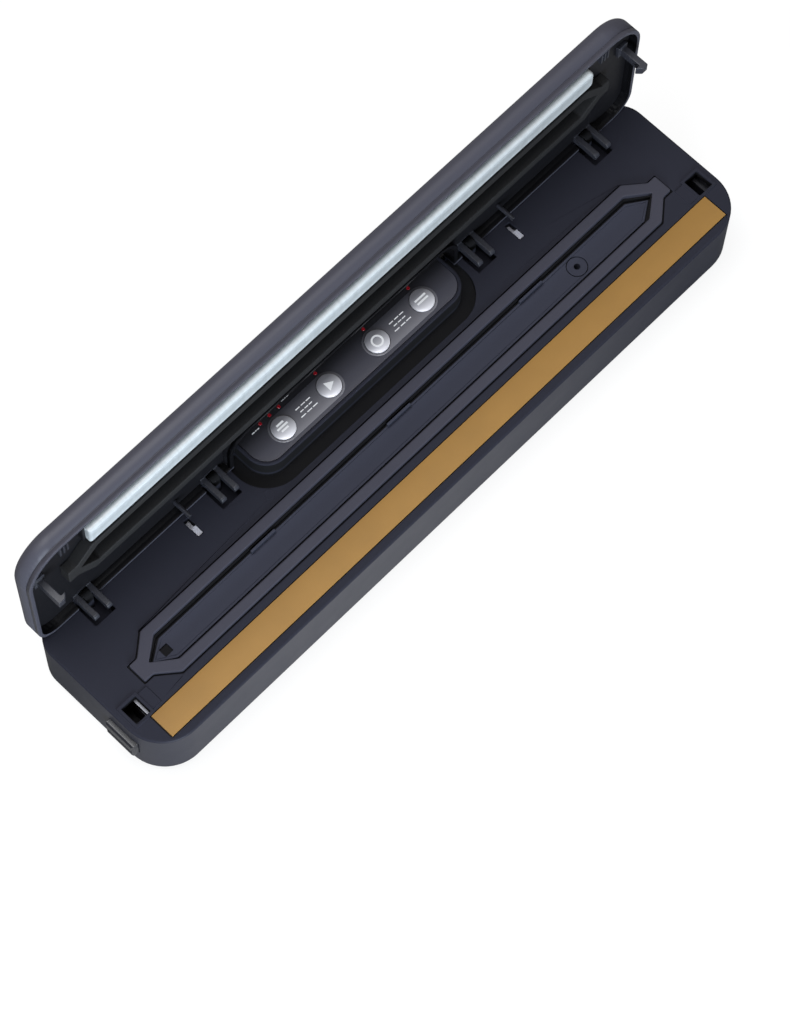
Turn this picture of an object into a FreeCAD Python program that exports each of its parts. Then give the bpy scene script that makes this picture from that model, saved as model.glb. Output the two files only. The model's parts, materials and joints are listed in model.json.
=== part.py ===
"""Hinged-lid vacuum sealer: a long flat base, a lid that stands open behind it, and the works inside.

Frame: +X along the length, -Y towards the user, +Z up, feet on z = 0, lid open at rest.
Lid pieces are drawn closed, above the deck, and then swung open about the hinge axis.
"""
import FreeCAD
import Part
import math
import os

V = FreeCAD.Vector

# Overshoot of a cutting shape, and the tolerance for a shared height
over = 1.0
same = 1e-4

# Base housing
base_length = 330.0
base_depth = 72.6
deck_height = 33.0
front_corner = 18.0
rear_corner = 12.4
housing_wall = 2.2
deck_thickness = 3.0
deck_edge_round = 1.0
pod_edge_round = 0.6
foot_edge_round = 3.0

# Bottom cover, feet and screws
cover_thickness = 2.0
cover_gap = 0.25
foot_height = 1.6
foot_seat = 0.8
foot_radius = 5.0
foot_inset_x = 20.0
foot_inset_y = 12.0
screw_radius = 1.4
screw_head_radius = 2.7
screw_head_height = 1.2
screw_gap = 0.1
screw_cross = 0.6
screw_end_gap = 0.5
screw_reach = 7.0
boss_radius = 3.2
screw_inset_x = 35.0
screw_inset_y = 8.0
rear_screw_shift = 5.5

# Heat strip
strip_end_gap = 10.0
strip_length = base_length - 2 * strip_end_gap
strip_width = 11.5
strip_inset = 4.1
strip_proud = 0.15
tape_thickness = 0.25
ribbon_width = 4.0
ribbon_thickness = 0.2
heater_bar_thickness = 1.2
ribbon_end_gap = 4.0
strip_gap_x = 0.5
strip_gap_y = 0.3

# Lower gasket ring and vacuum chamber
gasket_centre_inset = 31.4
gasket_half_depth = 11.5
gasket_end_gap = 17.8
gasket_half_length = base_length / 2 - gasket_end_gap
gasket_slant = 13.0
gasket_corner_x = gasket_half_length - gasket_slant
gasket_block_length = 4.4
gasket_block_x = gasket_half_length - gasket_block_length
gasket_slope = 0.55
gasket_tip_slope = 1.3
gasket_gap = 0.7
gasket_block_half = 4.4
gasket_band = 4.5
gasket_tip_band = 6.2
gasket_seat = 1.2
gasket_proud = 1.2
chamber_ledge = 0.6
chamber_depth = 3.6
chamber_wall = 1.8
tray_gap = 1.0
tray_wall = 1.0
tray_lip_drop = 1.2
tray_tab_length = 13.0
tray_tab_pitch = 75.0
tray_tab_drop = 0.2
drain_size = 4.0
drain_inset = 15.2
drain_x = drain_inset - gasket_half_length

# Suction port, hose and pump
port_inset = 50.2
port_x = gasket_half_length - port_inset
port_radius = 2.6
port_bore = 1.3
port_flange = 4.2
port_drop = 17.0
port_gap = 0.3
spout_length = 6.2
nipple_length = 4.0
hose_radius = 2.9
hose_bore = 1.7
hose_bend = 9.0
pump_head_x = 44.0
pump_head_length = 18.0
pump_head_width = 19.0
pump_head_height = 15.0
pump_inset = 57.0
pump_rise = 8.0
motor_radius = 7.4
motor_wall = 0.7
motor_length = 32.0
motor_end = 1.5
armature_gap = 4.0
pump_wall = 3.0
works_gap = 1.0
rotor_gap = 0.6
shaft_radius = 1.0
running_gap = 0.05
eccentric_radius = 4.5
eccentric_offset = 1.4
eccentric_width = 5.0
eccentric_gap = 2.0
cradle_share = 0.6
cradle_start_share = 0.8

# Control pod, panel, keys and lights
pod_half_length = 57.3
pod_front_inset = 52.1
pod_height = 8.5
pod_corner = 10.0
pod_wall = 1.8
pod_lip = 1.5
moat_width = 6.0
moat_depth = 2.0
panel_thickness = 1.0
panel_drop = 0.2
key_radius = 5.05
key_gap = 0.25
key_proud = 0.6
key_travel = 0.5
key_flange = 1.0
key_flange_thickness = 1.0
key_flange_gap = 0.05
key_edge_round = 0.4
key_inset = 61.5
key_inner_x = 13.4
key_outer_x = 38.6
zone_band = 0.9
zone_thickness = 0.15
overlay_gap = 0.15
light_radius = 0.75
light_inset = 69.2
light_spread = 5.1
light_proud = 0.1
board_thickness = 1.6
board_half_length = 50.0
board_depth = 14.9
board_margin = 1.2
tact_size = 6.0
tact_height = 3.0
tact_stem = 0.8
tact_stem_radius = 1.7
tact_gap = 0.2
post_radius = 2.0
post_x = 47.4

# Power board and inlet
power_board_length = 56.0
power_board_depth = 20.0
power_board_x = -27.0
power_post_height = 3.0
transformer_length = 22.0
transformer_depth = 17.0
transformer_height = 11.0
transformer_offset = 10.0
transformer_core_share = 0.6
coil_drop = 2.0
capacitor_radius = 4.0
capacitor_offset = 14.0
capacitor_height = 10.0
power_post_inset = 4.0
inlet_switch_gap = 16.0
inlet_width = 21.0
inlet_height = 11.0
inlet_depth = 13.0
inlet_wall = 1.6
inlet_flange = 1.4
inlet_pin_radius = 1.15
inlet_pin_pitch = 8.6
inlet_pin_recess = 2.0
inlet_gap = 0.15
inlet_flange_side = 1.5
inlet_flange_rise = 1.0

# Latches: holes in the deck, release buttons on the ends
latch_end_gap = 7.5
latch_x = base_length / 2 - latch_end_gap
latch_inset = 21.4
latch_hole_x = 7.4
latch_hole_y = 8.6
latch_frame = 1.3
latch_frame_height = 0.6
button_length = 15.0
button_height = 10.0
button_drop = 9.0
button_proud = 2.5
button_gap = 0.35
button_travel = 2.2
button_flange = 1.4
button_flange_gap = 1.3
button_web = 2.6
button_edge_round = 1.2
catch_thickness = 1.2
catch_bite = 1.0
catch_clear = 0.3
catch_margin = 3.0
catch_window_gap = 0.5
spring_leaf = 0.5
spring_room = 5.0
spring_height = 4.0
spring_stop = 2.0
latch_pad_gap = 0.8
hook_thickness = 2.8
hook_width = 4.4
hook_tooth = 2.2
hook_tooth_height = 2.2
hook_foot = 1.2
hook_foot_height = 1.5

# Lid
lid_end_gap = 0.5
lid_length = base_length - 2 * lid_end_gap
lid_front_inset = 0.6
lid_rear_inset = 2.1
lid_gap = 2.5
lid_thickness = 10.6
lid_wall = 1.8
lid_roof = 2.0
lid_edge_round = 4.0
lid_corner_step = 0.6
notch_side_gap = 4.2
notch_front_gap = 3.0
sharp_corner = 1.0
lid_slot_gap = 0.5
lid_screw_depth = 2.0
lid_screw_reach = 1.8
lid_screw_shares = (0.3, 0.72)
plate_thickness = 1.6
plate_gap = 0.2
plate_drop = 4.0
upper_gasket_gap = 0.3
upper_gasket_width = 4.0
press_width = 10.0
press_end_gap = 20.0
press_length = strip_length - 2 * press_end_gap
press_side = 1.6
press_channel_hold = 1.2
press_gap = 0.3
press_root = 1.8
press_channel_wall = 1.2
clip_length = 6.0
clip_gap = 8.8
clip_pitch = 1.8
clip_rib = 0.8
clip_height = 2.6

# Hinge
hinge_inset = 67.1
hinge_height = 4.0
hinge_outer_gap = 25.6
hinge_outer_x = base_length / 2 - hinge_outer_gap
hinge_pod_gap = 14.2
hinge_inner_x = pod_half_length + hinge_pod_gap
hinge_x = (-hinge_outer_x, -hinge_inner_x, hinge_inner_x, hinge_outer_x)
arm_pitch = 6.8
arm_width = 2.5
arm_height = 3.2
arm_reach = 10.0
hinge_pin_radius = 1.0
knuckle_radius = 2.2
knuckle_gap = 0.3
pocket_gap = 0.5
pocket_wall = 1.2
arm_tip_share = 0.45
fork_root = 0.3
fork_root_least = 0.2
open_angle = 90.0

# Lid switches
switch_hinge_gap = 18.5
switch_x = hinge_inner_x + switch_hinge_gap
switch_slot_width = 2.8
switch_slot_length = 8.6
switch_slot_inset = 59.4
switch_pin_inset = 62.6
switch_pin_radius = 0.9
switch_pin_reach = 2.6
plunger_gap = 0.2
plunger_drop = 0.4
plunger_head_drop = 0.4
plunger_head_length = 4.2
plunger_height = 5.0
plunger_travel = 1.0
plunger_end_gap = 0.3
switch_body_x = 8.0
switch_body_y = 14.4
switch_body_z = 8.0

# Places worked out from the sizes above
lid_top = lid_gap + lid_thickness
lid_back_open = hinge_inset + lid_top - hinge_height
front_y = -lid_back_open / 2
rear_y = front_y + base_depth
base_half = base_length / 2
hinge_y = front_y + hinge_inset
hinge_z = deck_height + hinge_height
cover_top = foot_height + cover_thickness
deck_under = deck_height - deck_thickness
strip_y = front_y + strip_inset + strip_width / 2
gasket_y = front_y + gasket_centre_inset
latch_y = front_y + latch_inset
pod_front = front_y + pod_front_inset
pod_top = deck_height + pod_height
pod_ceiling = pod_top - panel_thickness - panel_drop - pod_wall
key_y = front_y + key_inset
light_y = front_y + light_inset
switch_slot_y = front_y + switch_slot_inset
switch_pin_y = front_y + switch_pin_inset
chamber_floor = deck_height - chamber_depth
pump_y = front_y + pump_inset
pump_z = cover_top + pump_rise
lid_half = lid_length / 2
lid_front = front_y + lid_front_inset
lid_rear = rear_y - lid_rear_inset
lid_bottom = deck_height + lid_gap
lid_roof_z = deck_height + lid_top
plate_bottom = lid_bottom + plate_drop
plate_top = plate_bottom + plate_thickness
notch_half = pod_half_length + notch_side_gap
notch_front = pod_front - notch_front_gap
tact_top = pod_ceiling - key_flange_thickness - key_travel - tact_gap
board_top = tact_top - tact_height
inlet_x = -switch_x - inlet_switch_gap
rear_screw_x = (base_half - inlet_x) / 2 - rear_screw_shift
board_y = pod_front + pod_wall + board_margin + board_depth / 2
key_spots = [("mode", -key_outer_x), ("start", -key_inner_x)]
key_spots = key_spots + [("vacuum", key_inner_x), ("seal", key_outer_x)]
light_spots = [-key_outer_x - light_spread, -key_outer_x, -key_outer_x + light_spread]
light_spots = light_spots + [-key_inner_x, key_inner_x, key_outer_x]
button_z = deck_height - button_drop - button_height / 2
catch_top = deck_under - catch_clear
hook_tooth_top = catch_top - catch_thickness - catch_clear
hook_tip = hook_tooth_top - hook_tooth_height


def box(x0, x1, y0, y1, z0, z1):
    """A block between two corners."""
    return Part.makeBox(x1 - x0, y1 - y0, z1 - z0, V(x0, y0, z0))


def block(x, y, size_x, size_y, z0, z1):
    """A block centred on x, y."""
    return box(x - size_x / 2, x + size_x / 2, y - size_y / 2, y + size_y / 2, z0, z1)


def rod(radius, start, end):
    """A cylinder from one point to another."""
    along = end - start
    return Part.makeCylinder(radius, along.Length, start, along)


def upright(radius, x, y, z0, z1):
    """A vertical cylinder."""
    return Part.makeCylinder(radius, z1 - z0, V(x, y, z0))


def fuse(shapes):
    """All shapes joined into one."""
    joined = shapes[0]
    if len(shapes) > 1:
        joined = joined.multiFuse(shapes[1:])
    return joined.removeSplitter()


def cut(shape, tools):
    """A shape less a list of tools."""
    return shape.cut(Part.makeCompound(tools))


def rounded_outline(half, front, back, front_round, back_round, z):
    """A closed rounded rectangle, symmetric about x = 0, at one height."""
    corners = [
        (half, front, front_round, -90.0),
        (half, back, back_round, 0.0),
        (-half, back, back_round, 90.0),
        (-half, front, front_round, 180.0),
    ]
    spans = []
    for x, y, radius, start in corners:
        centre = V(x - math.copysign(radius, x), y + radius if y == front else y - radius, z)
        spots = []
        for turn in (0.0, 45.0, 90.0):
            angle = math.radians(start + turn)
            spots.append(centre + V(math.cos(angle), math.sin(angle), 0) * radius)
        spans.append(spots)
    edges = []
    for index, spots in enumerate(spans):
        edges.append(Part.Arc(*spots).toShape())
        following = spans[(index + 1) % len(spans)][0]
        if (following - spots[2]).Length > same:
            edges.append(Part.LineSegment(spots[2], following).toShape())
    return Part.Wire(edges)


def slab(half, front, back, front_round, back_round, z0, z1):
    """A rounded rectangle raised from z0 to z1."""
    outline = rounded_outline(half, front, back, front_round, back_round, z0)
    return Part.Face(outline).extrude(V(0, 0, z1 - z0))


def polygon(points, z0, z1):
    """A prism on a closed list of x, y points."""
    corners = [V(x, y, z0) for x, y in points]
    return Part.Face(Part.makePolygon(corners + corners[:1])).extrude(V(0, 0, z1 - z0))


def pill(x0, x1, y, radius, z0, z1):
    """A stadium-shaped plate between two centres on one line."""
    ends = [upright(radius, x0, y, z0, z1), upright(radius, x1, y, z0, z1)]
    return fuse(ends + [box(x0, x1, y - radius, y + radius, z0, z1)])


def mirrored(shape):
    """The same shape on the other end of the part."""
    return shape.mirror(V(0, 0, 0), V(1, 0, 0))


def edges_at(shape, z):
    """Every edge that lies at one height."""
    found = []
    for edge in shape.Edges:
        bounds = edge.BoundBox
        if abs(bounds.ZMin - z) < same and abs(bounds.ZMax - z) < same:
            found.append(edge)
    return found


def swing_open(shape):
    """A lid piece turned from closed to open about the hinge axis."""
    turned = shape.copy()
    turned.rotate(V(0, hinge_y, hinge_z), V(1, 0, 0), -open_angle)
    return turned


def write(name, shapes):
    """One node's file, from one solid or a group of separate solids."""
    solids = shapes if isinstance(shapes, list) else [shapes]
    whole = solids[0] if len(solids) == 1 else Part.makeCompound(solids)
    whole.exportStep("parts/" + name + ".step")


def write_lid(name, shapes):
    """One node of the lid, swung open."""
    solids = shapes if isinstance(shapes, list) else [shapes]
    write(name, [swing_open(solid) for solid in solids])


def gasket_outline(grow):
    """The gasket ring's outer edge: slanted ends with a square block at each tip."""
    slant = grow * gasket_slope
    half = [
        (gasket_corner_x + slant, gasket_half_depth + grow),
        (gasket_block_x + slant, gasket_block_half + grow),
        (gasket_half_length + grow, gasket_block_half + grow),
    ]
    right = half + [(x, -y) for x, y in reversed(half)]
    left = [(-x, y) for x, y in reversed(right)]
    return [(x, gasket_y + y) for x, y in right + left]


def chamber_outline(shrink):
    """The hexagon inside the gasket ring."""
    corner_x = gasket_corner_x - (gasket_band + shrink) * gasket_slope
    half = gasket_half_depth - gasket_band - shrink
    tip_x = gasket_half_length - gasket_tip_band - shrink * gasket_tip_slope
    points = [(corner_x, half), (tip_x, 0.0), (corner_x, -half)]
    points = points + [(-x, y) for x, y in reversed(points)]
    return [(x, gasket_y + y) for x, y in points]


def pod_slab(grow, z0, z1):
    """The control pod's outline, run back to the housing's rear wall and no further."""
    back = rear_y + pod_corner + moat_width
    body = slab(pod_half_length + grow, pod_front - grow, back, pod_corner + grow, sharp_corner, z0, z1)
    return body.common(box(-base_length, base_length, front_y - base_depth, rear_y, z0, z1))


def screw_spots():
    """Where the cover screws stand."""
    spots = []
    for x in (-base_half + screw_inset_x, 0.0, base_half - screw_inset_x):
        spots.append((x, front_y + screw_inset_y))
    for x in (-rear_screw_x, rear_screw_x):
        spots.append((x, rear_y - housing_wall - screw_inset_y))
    return spots


def foot_spots():
    """Where the feet stand."""
    spots = []
    for x in (-base_half + foot_inset_x, base_half - foot_inset_x):
        spots.append((x, front_y + foot_inset_y))
        spots.append((x, rear_y - foot_inset_y))
    return spots


def hinge_pocket(x, grow, z0):
    """The pocket that a hinge fork swings in."""
    half = arm_pitch / 2 + arm_width / 2 + pocket_gap + grow
    swing = math.hypot(arm_reach, arm_height / 2) + pocket_gap
    back = hinge_y + arm_height / 2 + pocket_gap + grow
    return box(x - half, x + half, hinge_y - swing - grow, back, z0, deck_height)


def knuckle(x):
    """The base's hinge lug between two fork arms, with its bore."""
    half = (arm_pitch - arm_width) / 2 - knuckle_gap
    floor = hinge_pocket_floor()
    lug = block(x, hinge_y, 2 * half, 2 * knuckle_radius, floor, hinge_z)
    eye = hinge_rod(knuckle_radius, x, half)
    bore = hinge_rod(hinge_pin_radius + running_gap, x, half + over)
    return fuse([lug, eye]).cut(bore)


def hinge_rod(radius, x, half):
    """A cylinder on the hinge axis, centred on x."""
    return rod(radius, V(x - half, hinge_y, hinge_z), V(x + half, hinge_y, hinge_z))


def hinge_pocket_floor():
    """The height of the floor under a fork's swing."""
    return hinge_z - math.hypot(arm_reach, arm_height / 2) - pocket_gap


def hollow_case():
    """The case's walls and deck with rounded edges, open underneath, less the moat round the pod."""
    outer = slab(base_half, front_y, rear_y, front_corner, rear_corner, foot_height, deck_height)
    outer = outer.makeFillet(foot_edge_round, edges_at(outer, foot_height))
    outer = outer.makeFillet(deck_edge_round, edges_at(outer, deck_height))
    front_round = front_corner - housing_wall
    rear_round = rear_corner - housing_wall
    back = rear_y - housing_wall
    inside = slab(base_half - housing_wall, front_y + housing_wall, back, front_round, rear_round,
                  foot_height - over, deck_under)
    moat = pod_slab(moat_width, deck_height - moat_depth, deck_height + over).cut(pod_slab(0, 0, pod_top))
    moat = moat.common(box(-base_half, base_half, front_y, back, 0, pod_top))
    return outer.cut(inside).cut(moat)


def latch_frames():
    """Raised frames round the latch holes, each with a low pad towards the gasket."""
    solids = []
    frame_x = latch_hole_x + 2 * latch_frame
    frame_y = latch_hole_y + 2 * latch_frame
    pad_length = latch_x - frame_x / 2 - gasket_half_length - latch_pad_gap
    pad_x = gasket_half_length + latch_pad_gap + pad_length / 2
    for side in (-1, 1):
        frame = block(side * latch_x, latch_y, frame_x, frame_y, deck_under, deck_height + latch_frame_height)
        pad_top = deck_height + latch_frame_height / 2
        pad = block(side * pad_x, latch_y, pad_length, latch_hole_y, deck_under, pad_top)
        solids = solids + [frame, pad]
    return solids


def housing_cuts():
    """Every opening in the case, from the chamber to the light holes."""
    tools = [polygon(gasket_outline(gasket_gap), deck_height - gasket_seat, deck_height + over)]
    tools.append(polygon(chamber_outline(chamber_ledge), chamber_floor, deck_height + over))
    bar_depth = heater_bar_thickness + ribbon_thickness + tape_thickness - strip_proud
    tools.append(block(0, strip_y, strip_length + 2 * strip_gap_x, strip_width + 2 * strip_gap_y,
                       deck_height - bar_depth, deck_height + over))
    button_half = button_height / 2 + button_gap
    for side in (-1, 1):
        tools.append(block(side * latch_x, latch_y, latch_hole_x, latch_hole_y, deck_under - over,
                           deck_height + latch_frame_height + over))
        tools.append(block(side * switch_x, switch_slot_y, switch_slot_width, switch_slot_length,
                           deck_under - over, deck_height + over))
        tools.append(block(side * base_half, latch_y, housing_wall * 3, button_length + 2 * button_gap,
                           button_z - button_half, button_z + button_half))
    tools = tools + [hinge_pocket(x, 0, hinge_pocket_floor()) for x in hinge_x]
    for x, y in screw_spots():
        tools.append(upright(screw_radius, x, y, cover_top - over, cover_top + screw_reach))
    tools.append(pod_slab(-pod_lip, pod_top - panel_thickness - panel_drop, pod_top + over))
    for _, x in key_spots:
        tools.append(upright(key_radius + key_gap, x, key_y, pod_ceiling - over, pod_top))
    for x in light_spots:
        tools.append(upright(light_radius, x, light_y, pod_ceiling - over, pod_top))
    port_start = chamber_floor - chamber_wall - over
    tools.append(upright(port_radius, port_x, gasket_y, port_start, chamber_floor + over))
    inlet_z = inlet_centre_z()
    tools.append(block(inlet_x, rear_y, inlet_width, 2 * (housing_wall + over),
                       inlet_z - inlet_height / 2, inlet_z + inlet_height / 2))
    return tools


def base_housing():
    """Outer case: walls, deck, chamber tub, latch frames, hinge pockets and control pod."""
    pod_inside = pod_slab(-pod_wall, deck_under - over, pod_ceiling)
    pod_inside = pod_inside.common(box(-base_half, base_half, front_y, rear_y - housing_wall, 0, pod_top))
    pod = pod_slab(0, deck_under, pod_top)
    pod = pod.makeFillet(pod_edge_round, edges_at(pod, pod_top))
    tub = polygon(chamber_outline(-chamber_wall), chamber_floor - chamber_wall, deck_height - gasket_seat)
    well_bottom = hinge_pocket_floor() - pocket_wall
    wells = [hinge_pocket(x, pocket_wall, well_bottom) for x in hinge_x]
    bosses = [upright(boss_radius, x, y, cover_top, deck_under) for x, y in screw_spots()]
    posts = [upright(post_radius, x, board_y, board_top, pod_ceiling) for x in (-post_x, post_x)]
    shell = fuse([hollow_case(), tub, pod] + latch_frames() + wells + bosses)
    shell = cut(shell, [pod_inside] + housing_cuts())
    return fuse([shell] + posts + [knuckle(x) for x in hinge_x])


def inlet_centre_z():
    """The height of the power inlet in the rear wall."""
    return (cover_top + deck_under) / 2


def bottom_cover():
    """Flat cover inside the foot of the housing, with seats for feet and screws."""
    step = housing_wall + cover_gap
    plate = slab(base_half - step, front_y + step, rear_y - step, front_corner - step, rear_corner - step,
                 foot_height, cover_top)
    tools = []
    for x, y in foot_spots():
        tools.append(upright(foot_radius, x, y, 0, foot_height + foot_seat))
    for x, y in screw_spots():
        tools.append(upright(screw_radius + screw_gap, x, y, 0, cover_top + over))
        tools.append(upright(screw_head_radius + screw_gap, x, y, 0, foot_height + screw_head_height))
    posts = []
    post_reach = power_board_length / 2 - power_post_inset
    for x in (power_board_x - post_reach, power_board_x + post_reach):
        posts.append(upright(post_radius, x, power_board_y(), cover_top, cover_top + power_post_height))
    cradle_x0 = pump_head_x - motor_length * cradle_start_share
    cradle_half = motor_radius * cradle_share
    cradle_x1 = cradle_x0 + motor_length * cradle_share
    cradle = box(cradle_x0, cradle_x1, pump_y - cradle_half, pump_y + cradle_half, cover_top,
                 pump_z - cradle_half)
    can = pump_rod(motor_radius, 0, pump_head_x)
    return fuse([cut(plate, tools), cradle.cut(can)] + posts)


def pump_rod(radius, x0, x1):
    """A cylinder on the motor's axis."""
    return rod(radius, V(x0, pump_y, pump_z), V(x1, pump_y, pump_z))


def power_board_y():
    """The middle of the power board, between the chamber tub and the rear wall."""
    tub_back = gasket_y + gasket_half_depth - gasket_band + chamber_wall
    return (tub_back + rear_y - housing_wall) / 2


def feet():
    """Four rubber feet in their seats."""
    solids = []
    for x, y in foot_spots():
        solids.append(upright(foot_radius, x, y, 0, foot_height + foot_seat))
    return solids


def cover_screws():
    """Pan-head screws up through the cover into the bosses."""
    solids = []
    for x, y in screw_spots():
        head = upright(screw_head_radius, x, y, foot_height, foot_height + screw_head_height)
        shank = upright(screw_radius, x, y, foot_height, cover_top + screw_reach - screw_end_gap)
        reach = screw_head_radius + screw_cross
        slot = block(x, y, reach, screw_cross, foot_height, foot_height + screw_cross)
        slot_across = block(x, y, screw_cross, reach, foot_height, foot_height + screw_cross)
        solids.append(cut(fuse([head, shank]), [slot, slot_across]))
    return solids


def heat_strip():
    """Insulating bar, heating ribbon let into it, and the non-stick tape on top."""
    top = deck_height + strip_proud
    tape_bottom = top - tape_thickness
    bar_top = tape_bottom - ribbon_thickness
    bar_bottom = bar_top - heater_bar_thickness
    ribbon = block(0, strip_y, strip_length - 2 * ribbon_end_gap, ribbon_width, bar_top, tape_bottom)
    bar = block(0, strip_y, strip_length, strip_width, bar_bottom, tape_bottom)
    bar = bar.cut(ribbon)
    tape = block(0, strip_y, strip_length, strip_width, tape_bottom, top)
    return bar, ribbon, tape


def lower_gasket():
    """Soft grey ring round the chamber."""
    ring = polygon(gasket_outline(0), deck_height - gasket_seat, deck_height + gasket_proud)
    return ring.cut(polygon(chamber_outline(0), 0, deck_height + gasket_proud + over))


def chamber_tray():
    """Lift-out tray with finger tabs along its rear edge and a square drain hole."""
    rim = deck_height - gasket_seat - tray_lip_drop
    outer = polygon(chamber_outline(chamber_ledge + tray_gap), chamber_floor, rim)
    inner_edge = chamber_outline(chamber_ledge + tray_gap + tray_wall)
    inner = polygon(inner_edge, chamber_floor + tray_wall, rim + over)
    rear = gasket_y + gasket_half_depth - gasket_band - chamber_ledge - tray_gap
    tabs = []
    for step in (-1, 0, 1):
        tabs.append(block(step * tray_tab_pitch, rear - tray_wall / 2, tray_tab_length, tray_wall,
                          chamber_floor + tray_wall, deck_height - tray_tab_drop))
    tools = [block(drain_x, gasket_y, drain_size, drain_size, 0, deck_height)]
    tools.append(upright(port_flange + port_gap, port_x, gasket_y, 0, deck_height))
    return cut(fuse([outer.cut(inner)] + tabs), tools)


def suction_port():
    """Flanged elbow from the chamber floor to the hose."""
    elbow_z = port_elbow_z()
    flange = upright(port_flange, port_x, gasket_y, chamber_floor, chamber_floor + tray_wall)
    stem = upright(port_radius, port_x, gasket_y, elbow_z - port_radius, chamber_floor)
    spout_end = V(port_x, hose_start_y(), elbow_z)
    spout = rod(port_radius, V(port_x, gasket_y, elbow_z), spout_end)
    bore = upright(port_bore, port_x, gasket_y, elbow_z, chamber_floor + tray_wall + over)
    bore_out = rod(port_bore, V(port_x, gasket_y, elbow_z), spout_end + V(0, over, 0))
    return cut(fuse([flange, stem, spout]), [bore, bore_out])


def port_elbow_z():
    """The height of the port's spout, under the chamber tub."""
    return chamber_floor - chamber_wall - port_drop


def hose_start_y():
    """Where the hose meets the port's spout."""
    return gasket_y + spout_length


def vacuum_hose():
    """Silicone hose: back from the port, one bend, then along to the pump head."""
    z = port_elbow_z()
    y = pump_y
    start = V(port_x, hose_start_y(), z)
    bend_in = V(port_x, y - hose_bend, z)
    bend_out = V(port_x - hose_bend, y, z)
    swing = hose_bend * (1 - math.sqrt(0.5))
    middle = V(port_x - swing, y - swing, z)
    end = V(pump_head_x + pump_head_length + nipple_length, y, z)
    runs = [Part.LineSegment(start, bend_in).toShape()]
    runs.append(Part.Arc(bend_in, middle, bend_out).toShape())
    runs.append(Part.LineSegment(bend_out, end).toShape())
    path = Part.Wire(runs)
    rings = []
    for radius in (hose_radius, hose_bore):
        rings.append(Part.Wire(Part.Circle(start, V(0, 1, 0), radius).toShape()))
    tube = path.makePipeShell([rings[0]], True, True)
    return tube.cut(path.makePipeShell([rings[1]], True, True))


def pump():
    """Pump head, motor can and the rotor with its eccentric."""
    x0 = pump_head_x
    x1 = pump_head_x + pump_head_length
    head_top = cover_top + pump_head_height
    head = block((x0 + x1) / 2, pump_y, pump_head_length, pump_head_width, cover_top, head_top)
    works = pump_rod(eccentric_radius + eccentric_offset + works_gap, x0 + pump_wall, x1 - pump_wall)
    shaft_hole = pump_rod(shaft_radius + running_gap, x0 - over, x0 + pump_wall + over)
    nipple_end = V(x1 + nipple_length, pump_y, port_elbow_z())
    nipple = rod(port_radius, V(x1, pump_y, port_elbow_z()), nipple_end)
    nipple_bore = rod(port_bore, V(x1 - pump_wall, pump_y, port_elbow_z()), nipple_end + V(over, 0, 0))
    head = cut(fuse([head, nipple]), [works, shaft_hole, nipple_bore])
    back = x0 - motor_length
    can = pump_rod(motor_radius, back, x0)
    hollow = pump_rod(motor_radius - motor_wall, back + motor_end, x0 - motor_end)
    bearing = pump_rod(shaft_radius + running_gap, back - over, x0 + over)
    can = cut(can, [hollow, bearing])
    shaft = pump_rod(shaft_radius, back - motor_end, x1 - pump_wall - over)
    armature = pump_rod(motor_radius - motor_wall - rotor_gap, back + armature_gap, x0 - armature_gap)
    rotor = fuse([shaft, armature])
    throw = V(x0 + pump_wall + eccentric_gap, pump_y, pump_z - eccentric_offset)
    eccentric = rod(eccentric_radius, throw, throw + V(eccentric_width, 0, 0))
    return head, can, rotor, eccentric.cut(shaft)


def control_panel():
    """Glossy overlay in the pod's lip and the two grey zones round the key pairs."""
    bottom = pod_top - panel_thickness - panel_drop
    top = pod_top - panel_drop
    overlay = pod_slab(-pod_lip - overlay_gap, bottom, top)
    overlay = overlay.common(box(-base_half, base_half, front_y, rear_y - pod_lip, 0, pod_top))
    tools = []
    for _, x in key_spots:
        tools.append(upright(key_radius + key_gap, x, key_y, 0, pod_top + over))
    for x in light_spots:
        tools.append(upright(light_radius, x, light_y, 0, pod_top + over))
    overlay = cut(overlay, tools)
    zones = []
    for x0, x1 in ((-key_outer_x, -key_inner_x), (key_inner_x, key_outer_x)):
        zone = pill(x0, x1, key_y, key_radius + key_gap + zone_band, top, top + zone_thickness)
        zones.append(cut(zone, tools))
    return overlay, zones


def key(x):
    """A round key: cap through the panel, flange under the pod's ceiling."""
    cap = upright(key_radius, x, key_y, pod_ceiling - key_flange_thickness, pod_top + key_proud)
    cap = cap.makeFillet(key_edge_round, edges_at(cap, pod_top + key_proud))
    flange_top = pod_ceiling - key_flange_gap
    flange = upright(key_radius + key_flange, x, key_y, flange_top - key_flange_thickness, flange_top)
    return fuse([cap, flange])


def control_board():
    """Key board hung under the pod, its tact switches and the light pipes."""
    board = block(0, board_y, 2 * board_half_length, board_depth, board_top - board_thickness, board_top)
    tacts = []
    for _, x in key_spots:
        body = block(x, key_y, tact_size, tact_size, board_top, tact_top - tact_stem)
        stem = upright(tact_stem_radius, x, key_y, tact_top - tact_stem, tact_top)
        tacts.append(fuse([body, stem]))
    lights = []
    for x in light_spots:
        lights.append(upright(light_radius, x, light_y, board_top, pod_top - panel_drop + light_proud))
    return board, tacts, lights


def power_supply():
    """Power board on its posts, with the transformer and a capacitor."""
    y = power_board_y()
    z = cover_top + power_post_height
    board = block(power_board_x, y, power_board_length, power_board_depth, z, z + board_thickness)
    top = z + board_thickness
    core_x = power_board_x - transformer_offset
    core_depth = transformer_depth * transformer_core_share
    coil_length = transformer_length * transformer_core_share
    core = block(core_x, y, transformer_length, core_depth, top, top + transformer_height)
    coil = block(core_x, y, coil_length, transformer_depth, top, top + transformer_height - coil_drop)
    capacitor = upright(capacitor_radius, power_board_x + capacitor_offset, y, top, top + capacitor_height)
    return board, fuse([core, coil]), capacitor


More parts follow.
